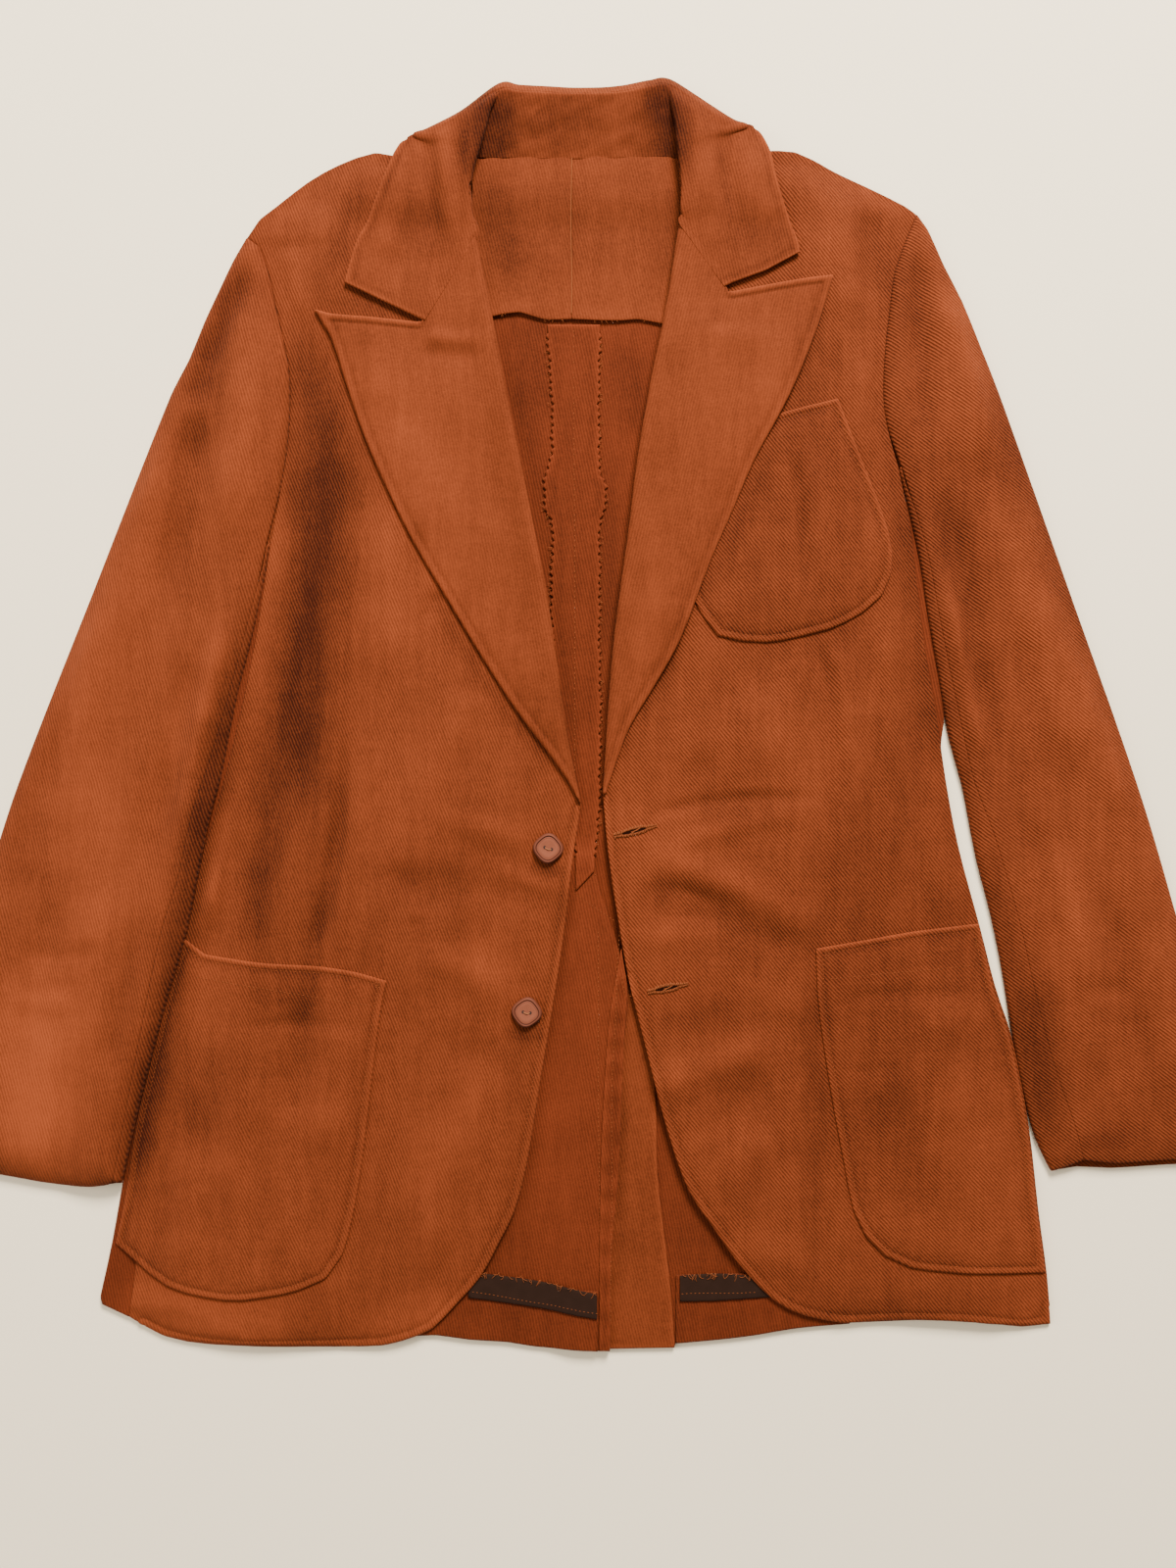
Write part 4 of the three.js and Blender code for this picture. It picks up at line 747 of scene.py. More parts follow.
def distance_to_segments(segments, x, y, block=3000):
    if not segments:
        return np.full(len(x), 99.0)
    a = np.array([s[0] for s in segments])
    d = np.array([s[1] for s in segments]) - a
    length2 = np.maximum((d**2).sum(1), 1e-9)
    out = np.empty(len(x))
    for i in range(0, len(x), block):
        rx = x[i : i + block, None] - a[:, 0]
        ry = y[i : i + block, None] - a[:, 1]
        t = np.clip((rx * d[:, 0] + ry * d[:, 1]) / length2, 0, 1)
        out[i : i + block] = np.sqrt(((rx - t * d[:, 0]) ** 2 + (ry - t * d[:, 1]) ** 2).min(1))
    return out


# Outlines of the pieces, taken from the frame.
SPACING = 2.2
UP = 1
DOWN = -1
OUTLINE = {}
for node_name in CUT:
    if node_name != "collar":
        OUTLINE[node_name] = rounded(boundary_loops(node_name, DOWN)[0], SPACING)
STRIP = {
    node_name: rounded(boundary_loops(node_name, UP)[1], SPACING)
    for node_name in ("back_right", "sleeve_under_right", "sleeve_under_left")
}


def neck_lift(x, y):
    return COLLAR_FALL_LIFT * ramp(y, 316, 342) * (1 - ramp(np.abs(x), 140, 180))


def back_right_low(x, y):
    return neck_lift(x, y) + VENT_LIFT * ramp(x, -24, 2) * ramp(-y, 78, 101)


back_left_low = neck_lift


def back_waves(x, y):
    return 0.5 + np.clip(fold_height(FOLDS_BACK, x, y), -0.5, 1.2)


def inside_right_low(x, y):
    return back_right_low(x, y) + back_waves(x, y) + LAYER


def inside_left_low(x, y):
    return back_left_low(x, y) + back_waves(x, y) + LAYER


def roll_bump(x, y, roll_x):
    return ROLL_BUMP * np.exp(-(((x - roll_x) / 15) ** 2)) * ramp(y, -75, 10)


def front_right_low(x, y):
    side = x - edge_x(OUTLINE["back_right"], y, True)
    edge = edge_x(OUTLINE["front_right"], y, False) - x
    inner = INSIDE_LIFT * ramp(x, -160, -80)
    puff = PUFF_RIGHT * ramp(side, 0, 60) * ramp(edge, 15, 110)
    bump = roll_bump(x, y, edge_x(OUTLINE["lapel_right"], y, False))
    folds = fold_height(FOLDS_FRONT_RIGHT, x, y) + 0.5 * unevenness(x, y, 70, 21)
    return back_right_low(x, y) + LAYER + 0.6 * ramp(side, 0, 20) + inner + bump + np.maximum(
        puff + folds * ramp(side, 4, 22), -0.2
    )


def front_left_low(x, y):
    side = edge_x(OUTLINE["back_left"], y, False) - x
    edge = x - edge_x(OUTLINE["front_left"], y, True)
    inner = INSIDE_LIFT * (1 - ramp(x, 140, 220))
    vent = VENT_OVERLAP_LIFT * (1 - ramp(x, 50, 110)) * ramp(-y, 55, 82)
    puff = PUFF_LEFT * ramp(side, 0, 60) * ramp(edge, 15, 100)
    bump = roll_bump(x, y, edge_x(OUTLINE["lapel_left"], y, True))
    folds = fold_height(FOLDS_FRONT_LEFT, x, y) + 0.45 * unevenness(x, y, 70, 33)
    return back_left_low(x, y) + LAYER + 0.6 * ramp(side, 0, 20) + inner + vent + bump + np.maximum(
        puff + folds * ramp(side, 3, 16), -0.2
    )


def above(low_at, amount):
    return lambda x, y: low_at(x, y) + amount


def sleeve_lift_right(x, y):
    out = edge_x(OUTLINE["back_right"], y, True) - x
    return SLEEVE_OVER_BODY * (1 - ramp(out, 6, 46)) * ramp(-y, 25, 70)


def no_lift(x, y):
    return np.zeros_like(x)


def sleeve_top_low(side, x, y):
    """The under surface of the sleeve's upper layer."""
    loop = closed(OUTLINE["sleeve_under_" + side])
    d = distance_to(loop, x, y)
    lift = sleeve_lift_right if side == "right" else no_lift
    rows = FOLDS_SLEEVE_RIGHT if side == "right" else FOLDS_SLEEVE_LEFT
    reach = 1 - np.clip(d / 24, 0, 1)
    dome = SLEEVE_DOME[side] * np.sqrt(np.clip(1 - reach**2, 0, 1))
    folds = fold_height(rows, x, y) + 0.45 * unevenness(x, y, 60, 44)
    return lift(x, y) + LAYER + dome + np.maximum(folds * ramp(d, 1, 16), -0.75 * dome)


def pocket_under_lapel(x, y):
    return POCKET_UNDER_LAPEL * ramp(x, 42, 62) * ramp(y, 5, 30) * (1 - ramp(y, 235, 275))


PIECES = {}
LOOK = "_look"


def keep(obj):
    PIECES[obj.name.removesuffix(LOOK)] = obj
    return obj


def add_mesh(base, extra, name):
    """Joins two meshes into one piece."""
    for o in bpy.context.selected_objects:
        o.select_set(False)
    base.select_set(True)
    extra.select_set(True)
    bpy.context.view_layer.objects.active = base
    bpy.ops.object.join()
    base.name = name + LOOK
    return base


SEAM = Edge(drop=0.55, width=1.8)
PLAIN = Edge(drop=0.6, width=1.2)
FREE = Edge(drop=0.9, width=1.6, bead=0.5, stitch=5.0, groove=0.42)
FREE_THIN = Edge(drop=0.75, width=1.3, bead=0.32, stitch=4.2, groove=0.3)
PINKED = Edge(drop=0.4, width=0.9)
TAPE_EDGE = Edge(drop=0.4, width=0.8)


def back_loop(side):
    """The back's outline; beside the sleeves' upper parts it reaches under to the sleeve."""
    loop = OUTLINE["back_" + side].copy()
    x, y = loop[:, 0], loop[:, 1]
    if side == "right":
        reach = edge_x(OUTLINE["sleeve_under_right"], y, False) - 0.3
        reach = reach - BACK_UNDER_SLEEVE * ramp(-y, 42, 62)
        gap = x - reach
        near = (x < -140) & (y < 95) & (y > -110)
        share = ramp(y, -110, -100)
    else:
        reach = edge_x(OUTLINE["sleeve_under_left"], y, True) + 0.3
        gap = reach - x
        near = (x > 150) & (y < 140) & (y > -26)
        share = ramp(y, -24, 6)
    near = near & (gap > 0) & (gap < WIDEST_GAP_AT_SLEEVE)
    loop[near, 0] += ((reach - x) * share)[near]
    return loop


def build_backs():
    for side, low_at in (("right", back_right_low), ("left", back_left_low)):
        name = "back_" + side
        base = flat_piece(
            name, back_loop(side), low_at, CLOTH, PLAIN, pitch=BACK_PITCH, relief=back_waves,
            tones=TONES_INSIDE,
        )
        if side == "right":
            strip = flat_piece(
                "wrap", STRIP[name], above(low_at, 0.2), CLOTH + LAYER, SEAM, tones=TONES_OUTER,
            )
            base = add_mesh(base, strip, name)
        keep(base)


def pinked(loop):
    """A strip's outline with small teeth along its two long sides."""
    pitch = 4.7
    depth = 2.6
    middle = sum(STRIP_SIDES) / 2
    out = []
    for p in split_long(loop, 0.8):
        on_side = STRIP_FOOT < p[1] < STRIP_HEAD
        tooth = abs((p[1] / pitch) % 1 - 0.5) * 2
        wobble = 0.5 * math.sin(p[1] * 0.21) + 0.4 * math.sin(p[1] * 0.077 + 1)
        shift = (tooth - 0.5) * depth * (0.8 + 0.4 * math.sin(p[1] * 0.9)) + wobble * 0.6
        if on_side:
            out.append([p[0] + (shift if p[0] > middle else -shift), p[1]])
        else:
            out.append([p[0], p[1]])
    return np.array(out)


def puckers(x, y):
    """Small soft waves across the narrow hem of the vent."""
    return 0.35 * np.sin(y / 3.1 + 0.8 * np.sin(y / 17)) * ramp(-y, 120, 170)


def edge_y(loop, x, low):
    """The y of a closed line's lower or upper side at each x."""
    return edge_x(loop[:, ::-1], x, low)


def build_inside():
    for side in ("right", "left"):
        name = "neck_facing_" + side
        loop = OUTLINE[name]
        loop[loop[:, 1] > 362, 1] += FACING_UNDER_COLLAR
        outward = -1 if side == "right" else 1
        beside = loop[:, 0] * outward > 52
        widening = outward * FACING_PAST_SHOULDER * ramp(loop[:, 1], 318, 330)
        loop[beside, 0] += widening[beside]

        def facing(x, y, loop=loop):
            above_edge = y - edge_y(loop, x, True)
            lift = 0.9 * np.exp(-((above_edge / 5.0) ** 2)) * (0.65 + 0.35 * np.sin(x / 9.0))
            return inside_right_low(x, y) + 0.1 + lift

        keep(flat_piece(
            name, loop, facing, CLOTH, PLAIN, relief=lambda x, y: -0.6 * ramp(y, 358, 369),
            tones=TONES_INSIDE,
        ))
    strip = OUTLINE["centre_seam_strip"].copy()
    foot = strip[:, 1] < STRIP_FOOT
    across = (strip[:, 0] - strip[foot, 0].min()) / np.ptp(strip[foot, 0])
    strip[foot, 1] -= 6 + 13 * (1 - across[foot])
    strip = pinked(strip)
    keep(flat_piece(
        "centre_seam_strip", strip, inside_right_low, CLOTH, PINKED,
        free=True, relief=lambda x, y: -0.35 * np.exp(-(((x + 3) / 1.1) ** 2)), tones=TONES_INSIDE,
    ))
    keep(flat_piece(
        "vent_hem_right", OUTLINE["vent_hem_right"], inside_right_low, CLOTH, PLAIN, free=True,
        relief=puckers, tones=TONES_INSIDE,
    ))
    keep(flat_piece(
        "vent_facing_left", OUTLINE["vent_facing_left"], inside_left_low, CLOTH * 0.8, PLAIN,
        free=True, tones=TONES_INSIDE,
    ))
    keep(flat_piece("hem_turnup_right", OUTLINE["hem_turnup_right"], inside_right_low, CLOTH, PLAIN))
    keep(flat_piece("hem_turnup_left", OUTLINE["hem_turnup_left"], inside_left_low, CLOTH, PLAIN))
    for side, low_at in (("right", inside_right_low), ("left", inside_left_low)):
        name = "hem_tape_" + side
        keep(flat_piece(
            name, OUTLINE[name], above(low_at, LAYER), TAPE, TAPE_EDGE, pitch=TAPE_PITCH,
            relief=lambda x, y: 0.18 * unevenness(x, y, 12, 8),
        ))


def build_fronts():
    def free_right(x, y):
        return (y < -62 and x > -112) or (y < -396 and x > -285)

    def free_left(x, y):
        return (y < -56 and x < 178) or y < -388

    keep(flat_piece(
        "front_right", OUTLINE["front_right"], front_right_low, CLOTH, FREE, free=free_right,
        folds=FOLDS_FRONT_RIGHT, tones=TONES_OUTER,
    ))
    keep(flat_piece(
        "front_left", OUTLINE["front_left"], front_left_low, CLOTH, FREE, free=free_left,
        folds=FOLDS_FRONT_LEFT, tones=TONES_OUTER,
    ))


def roll_round(node, is_left):
    """The turn of the lapel along the roll line."""
    def drop(x, y):
        gap = np.abs(x - edge_x(OUTLINE[node], y, is_left))
        t = 1 - np.clip(gap / 5.0, 0, 1)
        return -2.4 * (1 - np.sqrt(np.clip(1 - t**2, 0, 1))) * ramp(y, -70, -30)
    return drop


def build_lapels():
    specs = (
        ("right", front_right_low, FOLDS_LAPEL_RIGHT, False, (-66, 310), (-101.5, 256)),
        ("left", front_left_low, FOLDS_LAPEL_LEFT, True, (66, 320), (98, 277)),
    )
    for side, low_at, rows, roll_is_left, gorge_a, gorge_b in specs:
        name = "lapel_" + side
        a, b = np.array(gorge_a, float), np.array(gorge_b, float)

        def free(x, y, name=name, roll_is_left=roll_is_left, a=a, b=b):
            roll = abs(x - edge_x(OUTLINE[name], np.array([y]), roll_is_left)[0]) < 2.5
            t = np.clip(np.dot(np.array([x, y]) - a, b - a) / np.dot(b - a, b - a), 0, 1)
            gorge = np.linalg.norm(np.array([x, y]) - a - t * (b - a)) < 3
            return not roll and not gorge

        def under(x, y, low_at=low_at, side=side):
            pocket = pocket_under_lapel(x, y) if side == "left" else 0
            return low_at(x, y) + CLOTH + GAP + 0.1 + pocket

        turn = roll_round(name, roll_is_left)

        def relief(x, y, rows=rows, turn=turn):
            return fold_height(rows, x, y) + turn(x, y) + 0.25 * unevenness(x, y, 45, 61)

        keep(flat_piece(
            name, grown(OUTLINE[name], LAPEL_GROWTH), under, DOUBLED, FREE, free=free, relief=relief,
            tones=TONES_LAPEL,
        ))


def build_pockets():
    specs = (
        ("chest_pocket", front_left_low, [], FOLDS_FRONT_LEFT),
        ("hip_pocket_right", front_right_low, FOLDS_HIP_POCKET_RIGHT, FOLDS_FRONT_RIGHT),
        ("hip_pocket_left", front_left_low, FOLDS_HIP_POCKET_LEFT, FOLDS_FRONT_LEFT),
    )
    for name, low_at, rows, under_folds in specs:
        outline = closed(OUTLINE[name])

        def relief(x, y, rows=rows, outline=outline):
            d = distance_to(outline, x, y)
            return fold_height(rows, x, y) + 0.9 * ramp(d, 1, 16) + 0.2 * unevenness(x, y, 38, 71)

        keep(flat_piece(
            name, OUTLINE[name], above(low_at, CLOTH + GAP), CLOTH, FREE_THIN, free=True, relief=relief,
            folds=under_folds, tones=TONES_OUTER,
        ))


def build_sleeves():
    for side in ("right", "left"):
        lift = sleeve_lift_right if side == "right" else no_lift
        name = "sleeve_under_" + side
        base = flat_piece(name, OUTLINE[name], lift, CLOTH, PLAIN, pitch=COARSE)

        def top_at(x, y, side=side):
            return sleeve_top_low(side, x, y)

        strip = flat_piece("strip", STRIP[name], top_at, CLOTH, SEAM, tones=TONES_OUTER)
        inner = fold_wall(side, lift, top_at)
        base = add_mesh(add_mesh(base, strip, name), inner, name)
        keep(base)
        rows = FOLDS_SLEEVE_RIGHT if side == "right" else FOLDS_SLEEVE_LEFT
        keep(flat_piece(
            "sleeve_top_" + side, OUTLINE["sleeve_top_" + side], top_at, CLOTH, SEAM, folds=rows,
            tones=TONES_OUTER,
        ))


def fold_wall(side, lift, top_at):
    """The wall of the sleeve's inner fold, between its lower and upper layer."""
    loop = OUTLINE["sleeve_under_" + side]
    strip = closed(STRIP["sleeve_under_" + side])
    near = distance_to(strip, loop[:, 0], loop[:, 1]) < 0.8
    start = next(k for k in range(len(loop)) if near[k] and not near[k - 1])
    run = np.array([loop[(start + k) % len(loop)] for k in range(int(near.sum()))])
    high = top_at(run[:, 0], run[:, 1]) + 0.5
    low = lift(run[:, 0], run[:, 1]) + 0.2
    count = len(run)
    step = np.gradient(run, axis=0)
    step /= np.maximum(np.linalg.norm(step, axis=1, keepdims=True), 1e-9)
    within = run + np.stack([-step[:, 1], step[:, 0]], 1) * 0.9
    vertices = np.vstack([
        np.column_stack([run, low]), np.column_stack([run, high]),
        np.column_stack([within, high]), np.column_stack([within, low]),
    ])
    faces = []
    for k in range(count - 1):
        for row in range(4):
            a, b = row * count + k, (row + 1) % 4 * count + k
            faces += [(a, a + 1, b + 1), (a, b + 1, b)]
    for k in (0, count - 1):
        corner = [k, k + count, k + 2 * count, k + 3 * count]
        corner = corner[::-1] if k else corner
        faces += [(corner[0], corner[1], corner[2]), (corner[0], corner[2], corner[3])]
    return mesh_object("wall", vertices, faces, {"tone": np.zeros(4 * count)})


def spline_rows(rows, times):
    """Values between table rows on a smooth curve; rows is any array whose first axis is the row."""
    n = len(rows)
    out = []
    for t in times:
        k = min(n - 2, int(t))
        u = t - k
        p0, p1, p2, p3 = rows[max(0, k - 1)], rows[k], rows[k + 1], rows[min(n - 1, k + 2)]
        out.append(
            0.5 * (2 * p1 + (p2 - p0) * u + (2 * p0 - 5 * p1 + 4 * p2 - p3) * u**2
                   + (3 * p1 - p0 - 3 * p2 + p3) * u**3)
        )
    return np.array(out)


def front_rest(x, y):
    right = front_right_low(x, y)
    left = front_left_low(x, y)
    return np.where(x < 0, right, left) + CLOTH + GAP + 0.2


def collar_sections():
    half = DOUBLED / 2
    sections = []
    for row in COLLAR_ROWS:
        c = dict(zip(COLLAR_COLUMNS, row))

        def placed(px, py, pz):
            rest = front_rest(np.array([px]), np.array([py]))[0] + half
            return np.array([px, py, rest if pz == 0 else pz])

        n = placed(c["nx"], c["ny"], c["nz"])
        r = placed(c["rx"], c["ry"], c["rz"])
        s = placed(c["sx"], c["sy"], c["sz"])
        e = placed(c["ex"], c["ey"], c["ez"])
        out = np.append((s - r)[:2] / max(1e-6, np.linalg.norm((s - r)[:2])), 0)
        inward = np.append((e - s)[:2] / max(1e-6, np.linalg.norm((e - s)[:2])), 0)
        up = np.array([0, 0, 1.0])
        if c["rb"]:
            roll_low, roll_high = r + (out - up) * c["rb"], r + (out + up) * c["rb"]
        else:
            roll_low, roll_high = r + (n - r) * 0.3, r + (s - r) * 0.08
            if c["nz"] == 0:
                n = n - out * 2.2 - up * 0.9
        if c["sb"]:
            upper, under = s + (inward + up) * c["sb"], s + (inward - up) * c["sb"]
        else:
            upper, under = s + (r - s) * 0.25, s + (e - s) * 0.25
        points = [n, (n + roll_low) / 2, roll_low, r, roll_high]
        points += [roll_high + (upper - roll_high) * f for f in (0.35, 0.7)]
        points += [upper, s, under, (under + e) / 2, e]
        sections.append((points, bool(c["sb"])))
    return sections


def build_collar():
    half = DOUBLED / 2
    sections = collar_sections()
    grid = np.array([points for points, _ in sections])
    wraps = np.array([1.0 if wrapped else 0.0 for _, wrapped in sections])
    step = 0.125
    times = np.arange(0, len(grid) - 1 + 1e-6, step)
    across = np.arange(0, grid.shape[1] - 1 + 1e-6, 0.16)
    fine = spline_rows(grid, times)
    fine = np.transpose(spline_rows(np.transpose(fine, (1, 0, 2)), across), (1, 0, 2))
    wrapped = np.interp(times, np.arange(len(grid)), wraps)
    rows, columns = fine.shape[:2]
    x, y = fine[:, :, 0].ravel(), fine[:, :, 1].ravel()
    rest = front_rest(x, y).reshape(rows, columns) + half
    on_top = (across[None, :] < 7.4) | (wrapped[:, None] < 0.5)
    over_front = on_top & (fine[:, :, 1] < 358) & (np.abs(fine[:, :, 0] + 4) > 66)
    fine[:, :, 2] = np.where(over_front, np.maximum(fine[:, :, 2], rest), fine[:, :, 2])
    leaf = ramp(across, 4.2, 6.0)[None, :] * (1 - ramp(across, 8.6, 9.4)[None, :] * wrapped[:, None])
    folds = (fold_height(FOLDS_COLLAR, x, y) + 0.25 * unevenness(x, y, 30, 81)).reshape(rows, columns)
    fine[:, :, 2] += folds * leaf
    stand = (1 - ramp(across, 2.5, 4.0))[None, :] * ramp(wrapped, 0.3, 1)[:, None]
    fine[:, :, 2] += stand * 0.35 * unevenness(x, y, 14, 83).reshape(rows, columns)
    du = np.gradient(fine, axis=0)
    dv = np.gradient(fine, axis=1)
    normal = np.cross(dv, du)
    normal /= np.maximum(np.linalg.norm(normal, axis=2, keepdims=True), 1e-9)
    edge_gap = np.linalg.norm(fine - fine[:, -1:, :], axis=2)
    ends = np.minimum(
        np.linalg.norm(fine - fine[:1], axis=2), np.linalg.norm(fine - fine[-1:], axis=2)
    )
    d_free = np.minimum(edge_gap, ends)
    shape = FREE.height(d_free, d_free)[:, :, None]
    neck = (1 - ramp(across, 0, 1.3))[None, :, None] * wrapped[:, None, None]
    outer = fine + normal * (half + shape) * (1 - 0.9 * neck)
    inner = fine - normal * half
    vertices = np.vstack([outer.reshape(-1, 3), inner.reshape(-1, 3)])
    faces = grid_faces(rows, columns)
    tone = tone_of(d_free.ravel(), folds.ravel(), stroke_tone(TONES_COLLAR, x, y))
    keep(mesh_object("collar", vertices, faces, {"tone": np.tile(tone, 2)}))
    TOP["collar"] = fine, normal * half


def grid_faces(rows, columns):
    layer = rows * columns
    j, i = np.meshgrid(np.arange(rows - 1), np.arange(columns - 1), indexing="ij")
    a = (j * columns + i).ravel()
    quads = [(a, a + 1, a + columns + 1, a + columns)]
    b = a + layer
    quads.append((b, b + columns, b + columns + 1, b + 1))
    side = np.arange(rows - 1) * columns
    quads.append((side, side + columns, side + columns + layer, side + layer))
    side = side + columns - 1
    quads.append((side, side + layer, side + columns + layer, side + columns))
    end = np.arange(columns - 1)
    quads.append((end, end + layer, end + 1 + layer, end + 1))
    end = end + (rows - 1) * columns
    quads.append((end, end + 1, end + 1 + layer, end + layer))
    out = []
    for p, q, r, s in quads:
        out.append(np.column_stack([p, q, r]))
        out.append(np.column_stack([p, r, s]))
    return np.vstack(out)


# Buttons: centre, turn in degrees and tilt of the two thread holes.
BUTTONS = {"button_upper": (-19.2, -86.4, 40, -16), "button_lower": (-33.2, -193.2, 36, -7)}
BUTTON_HALF = 9.1
# The button's section: how far in from its rim, height and lightness, which paints shade down the rim's
# outer side and in the grooves inside it.
BUTTON_SECTION = [
    (1.2, 0.0, 0.1), (0.3, 0.5, 0.15), (0.0, 1.3, 0.2), (0.1, 1.9, 0.3), (0.55, 2.7, 0.4),
    (1.0, 3.15, 0.55), (1.35, 3.3, 0.7), (1.65, 3.1, 0.3), (1.85, 2.65, 0.0), (2.1, 2.6, 0.0),
    (2.35, 2.8, 0.6), (2.75, 2.9, 0.95), (3.0, 2.78, 0.55), (3.25, 2.86, 0.95), (4.6, 2.7, 1.0),
    (6.2, 2.5, 1.0), (7.8, 2.4, 0.95), (9.05, 2.4, 0.9),
]


def superellipse(size, power, t):
    """How far a rounded square reaches at each angle."""
    return size / (np.abs(np.cos(t)) ** power + np.abs(np.sin(t)) ** power) ** (1 / power)


def build_buttons():
    steps = 72
    t = np.linspace(0, 2 * math.pi, steps, endpoint=False)
    for name, (cx, cy, turn, tilt) in BUTTONS.items():
        angle = math.radians(turn)
        ring_x = cx + 0.85 * BUTTON_HALF * np.cos(t)
        ring_y = cy + 0.85 * BUTTON_HALF * np.sin(t)
        base = (front_right_low(ring_x, ring_y) + CLOTH).max() + 0.3
        vertices = []
        tones = []
        for inset, z, tone in BUTTON_SECTION:
            size = BUTTON_HALF - inset
            power = 2.8 if size > 4 else 2.0 + 0.8 * size / 4
            reach = superellipse(size, power, t)
            vertices.append(np.column_stack([
                cx + reach * np.cos(t + angle), cy + reach * np.sin(t + angle), np.full(steps, base + z),
            ]))
            tones.append(np.full(steps, tone))
        vertices = np.vstack(vertices)
        faces = []
        rings = len(BUTTON_SECTION)
        for j in range(rings - 1):
            for k in range(steps):
                a, b = j * steps + k, j * steps + (k + 1) % steps
                faces += [(a, b, b + steps), (a, b + steps, a + steps)]
        for k in range(1, steps - 1):
            faces.append((0, k + 1, k))
            top = (rings - 1) * steps
            faces.append((top, top + k, top + k + 1))
        keep(mesh_object(name, vertices, faces, {"tone": np.concatenate(tones)}))
        build_button_holes(name, cx, cy, math.radians(tilt), base + BUTTON_SECTION[-1][1])


def build_button_holes(name, cx, cy, tilt, level):
    """Two dark discs of painted shade for the thread holes, and the thread between them."""
    vertices, faces = [], []
    steps = 16
    for side in (-1, 1):
        hx = cx + side * 2.4 * math.cos(tilt)
        hy = cy + side * 2.4 * math.sin(tilt)
        start = len(vertices)
        vertices.append((hx, hy, level + 0.12))
        for k in range(steps):
            a = 2 * math.pi * k / steps
            vertices.append((hx + 0.95 * math.cos(a), hy + 1.15 * math.sin(a), level + 0.14))
        faces += [(start, start + 1 + k, start + 1 + (k + 1) % steps) for k in range(steps)]
    keep(mesh_object(name + "_holes", vertices, faces, {"tone": np.zeros(len(vertices))}))
    path = []
    for u in np.linspace(-1, 1, 9):
        path.append((
            cx + u * 2.1 * math.cos(tilt), cy + u * 2.1 * math.sin(tilt) - 0.7 * (1 - u**2),
            level + 0.1 + 0.35 * (1 - u**2),
        ))
    many(name + "_thread", [tube(path, 0.27, 6)])


def tube(path, radius, sides=5):
    """A thin round strand along a path, closed at its ends."""
    path = np.asarray(path, float)
    tangent = np.gradient(path, axis=0)
    tangent /= np.maximum(np.linalg.norm(tangent, axis=1, keepdims=True), 1e-9)
    up = np.array([0.0, 0.0, 1.0])
    side = np.cross(tangent, up)
    weak = np.linalg.norm(side, axis=1) < 1e-3
    side[weak] = (1.0, 0.0, 0.0)
    side /= np.linalg.norm(side, axis=1, keepdims=True)
    lift = np.cross(side, tangent)
    vertices = []
    for k, p in enumerate(path):
        for s in range(sides):
            a = 2 * math.pi * s / sides
            vertices.append(p + radius * (math.cos(a) * side[k] + math.sin(a) * lift[k]))
    faces = []
    count = len(path)
    for k in range(count - 1):
        for s in range(sides):
            a, b = k * sides + s, k * sides + (s + 1) % sides
            faces += [(a, a + sides, b + sides), (a, b + sides, b)]
    for s in range(1, sides - 1):
        faces.append((0, s, s + 1))
        end = (count - 1) * sides
        faces.append((end, end + s + 1, end + s))
    return vertices, faces


def many(name, strands):
    """One piece from many strands."""
    vertices, faces = [], []
    for v, f in strands:
        start = len(vertices)
        vertices.extend(v)
        faces.extend([tuple(i + start for i in face) for face in f])
    return keep(mesh_object(name, vertices, faces, {"tone": np.zeros(len(vertices))}))


# Straight rows of stitches on the inside: piece below, ends and stitch length.
INSIDE_ROWS = [
    ("back_right", -3.5, -114.2, 13.6, -102.7, 1.6),
    ("back_right", -3.5, -115.5, 25.3, -134.7, 1.6),
    ("back_right", 13.1, -140.0, 14.2, -362.0, 2.2),
    ("vent_hem_right", 27.5, -136.0, 22.5, -240.0, 2.2),
    ("vent_hem_right", 22.5, -240.0, 21.5, -398.0, 2.2),
    ("hem_tape_right", -70.0, -376.5, -11.2, -386.2, 2.0),
    ("hem_tape_right", -11.2, -386.2, 16.0, -390.1, 2.0),
    ("hem_tape_left", 67.0, -378.0, 118.0, -377.0, 2.0),
    ("chest_pocket", 158.0, 197.5, 118.0, 189.0, 2.2),
    ("hip_pocket_left", 163.0, -171.0, 268.0, -162.0, 2.2),
    ("hip_pocket_right", -250.0, -170.5, -128.0, -189.5, 2.2),
    ("centre_seam_strip", -2.6, 254.0, -1.6, -84.0, 2.6),
]


def stitch(a, b, radius):
    """One stitch: a small lozenge between two points."""
    a, b = np.asarray(a, float), np.asarray(b, float)
    middle = (a + b) / 2 + (0, 0, 0.06)
    along = (b - a) / max(np.linalg.norm(b - a), 1e-6)
    side = np.array([-along[1], along[0], 0]) * radius
    up = np.array([0, 0, radius])
    vertices = [a - (0, 0, 0.1), b - (0, 0, 0.1), middle + side, middle + up, middle - side, middle - up]
    faces = [(0, 3, 2), (0, 4, 3), (0, 5, 4), (0, 2, 5), (1, 2, 3), (1, 3, 4), (1, 4, 5), (1, 5, 2)]
    return vertices, faces


def length_along(path):
    """The distance along a path at each of its points."""
    return np.concatenate([[0], np.cumsum(np.linalg.norm(np.diff(path, axis=0), axis=1))])


def stitch_path(path, length, radius, rng, gap=0.75):
    """Stitches along a line in space."""
    path = np.asarray(path, float)
    reach = length_along(path)
    strands = []
    at = gap
    while at + length < reach[-1]:
        ends = [
            [np.interp(t, reach, path[:, k]) for k in range(3)] for t in (at, at + length)
        ]
        strands.append(stitch(ends[0], ends[1], radius))
        at += length + gap + rng.uniform(-0.1, 0.1)
    return strands


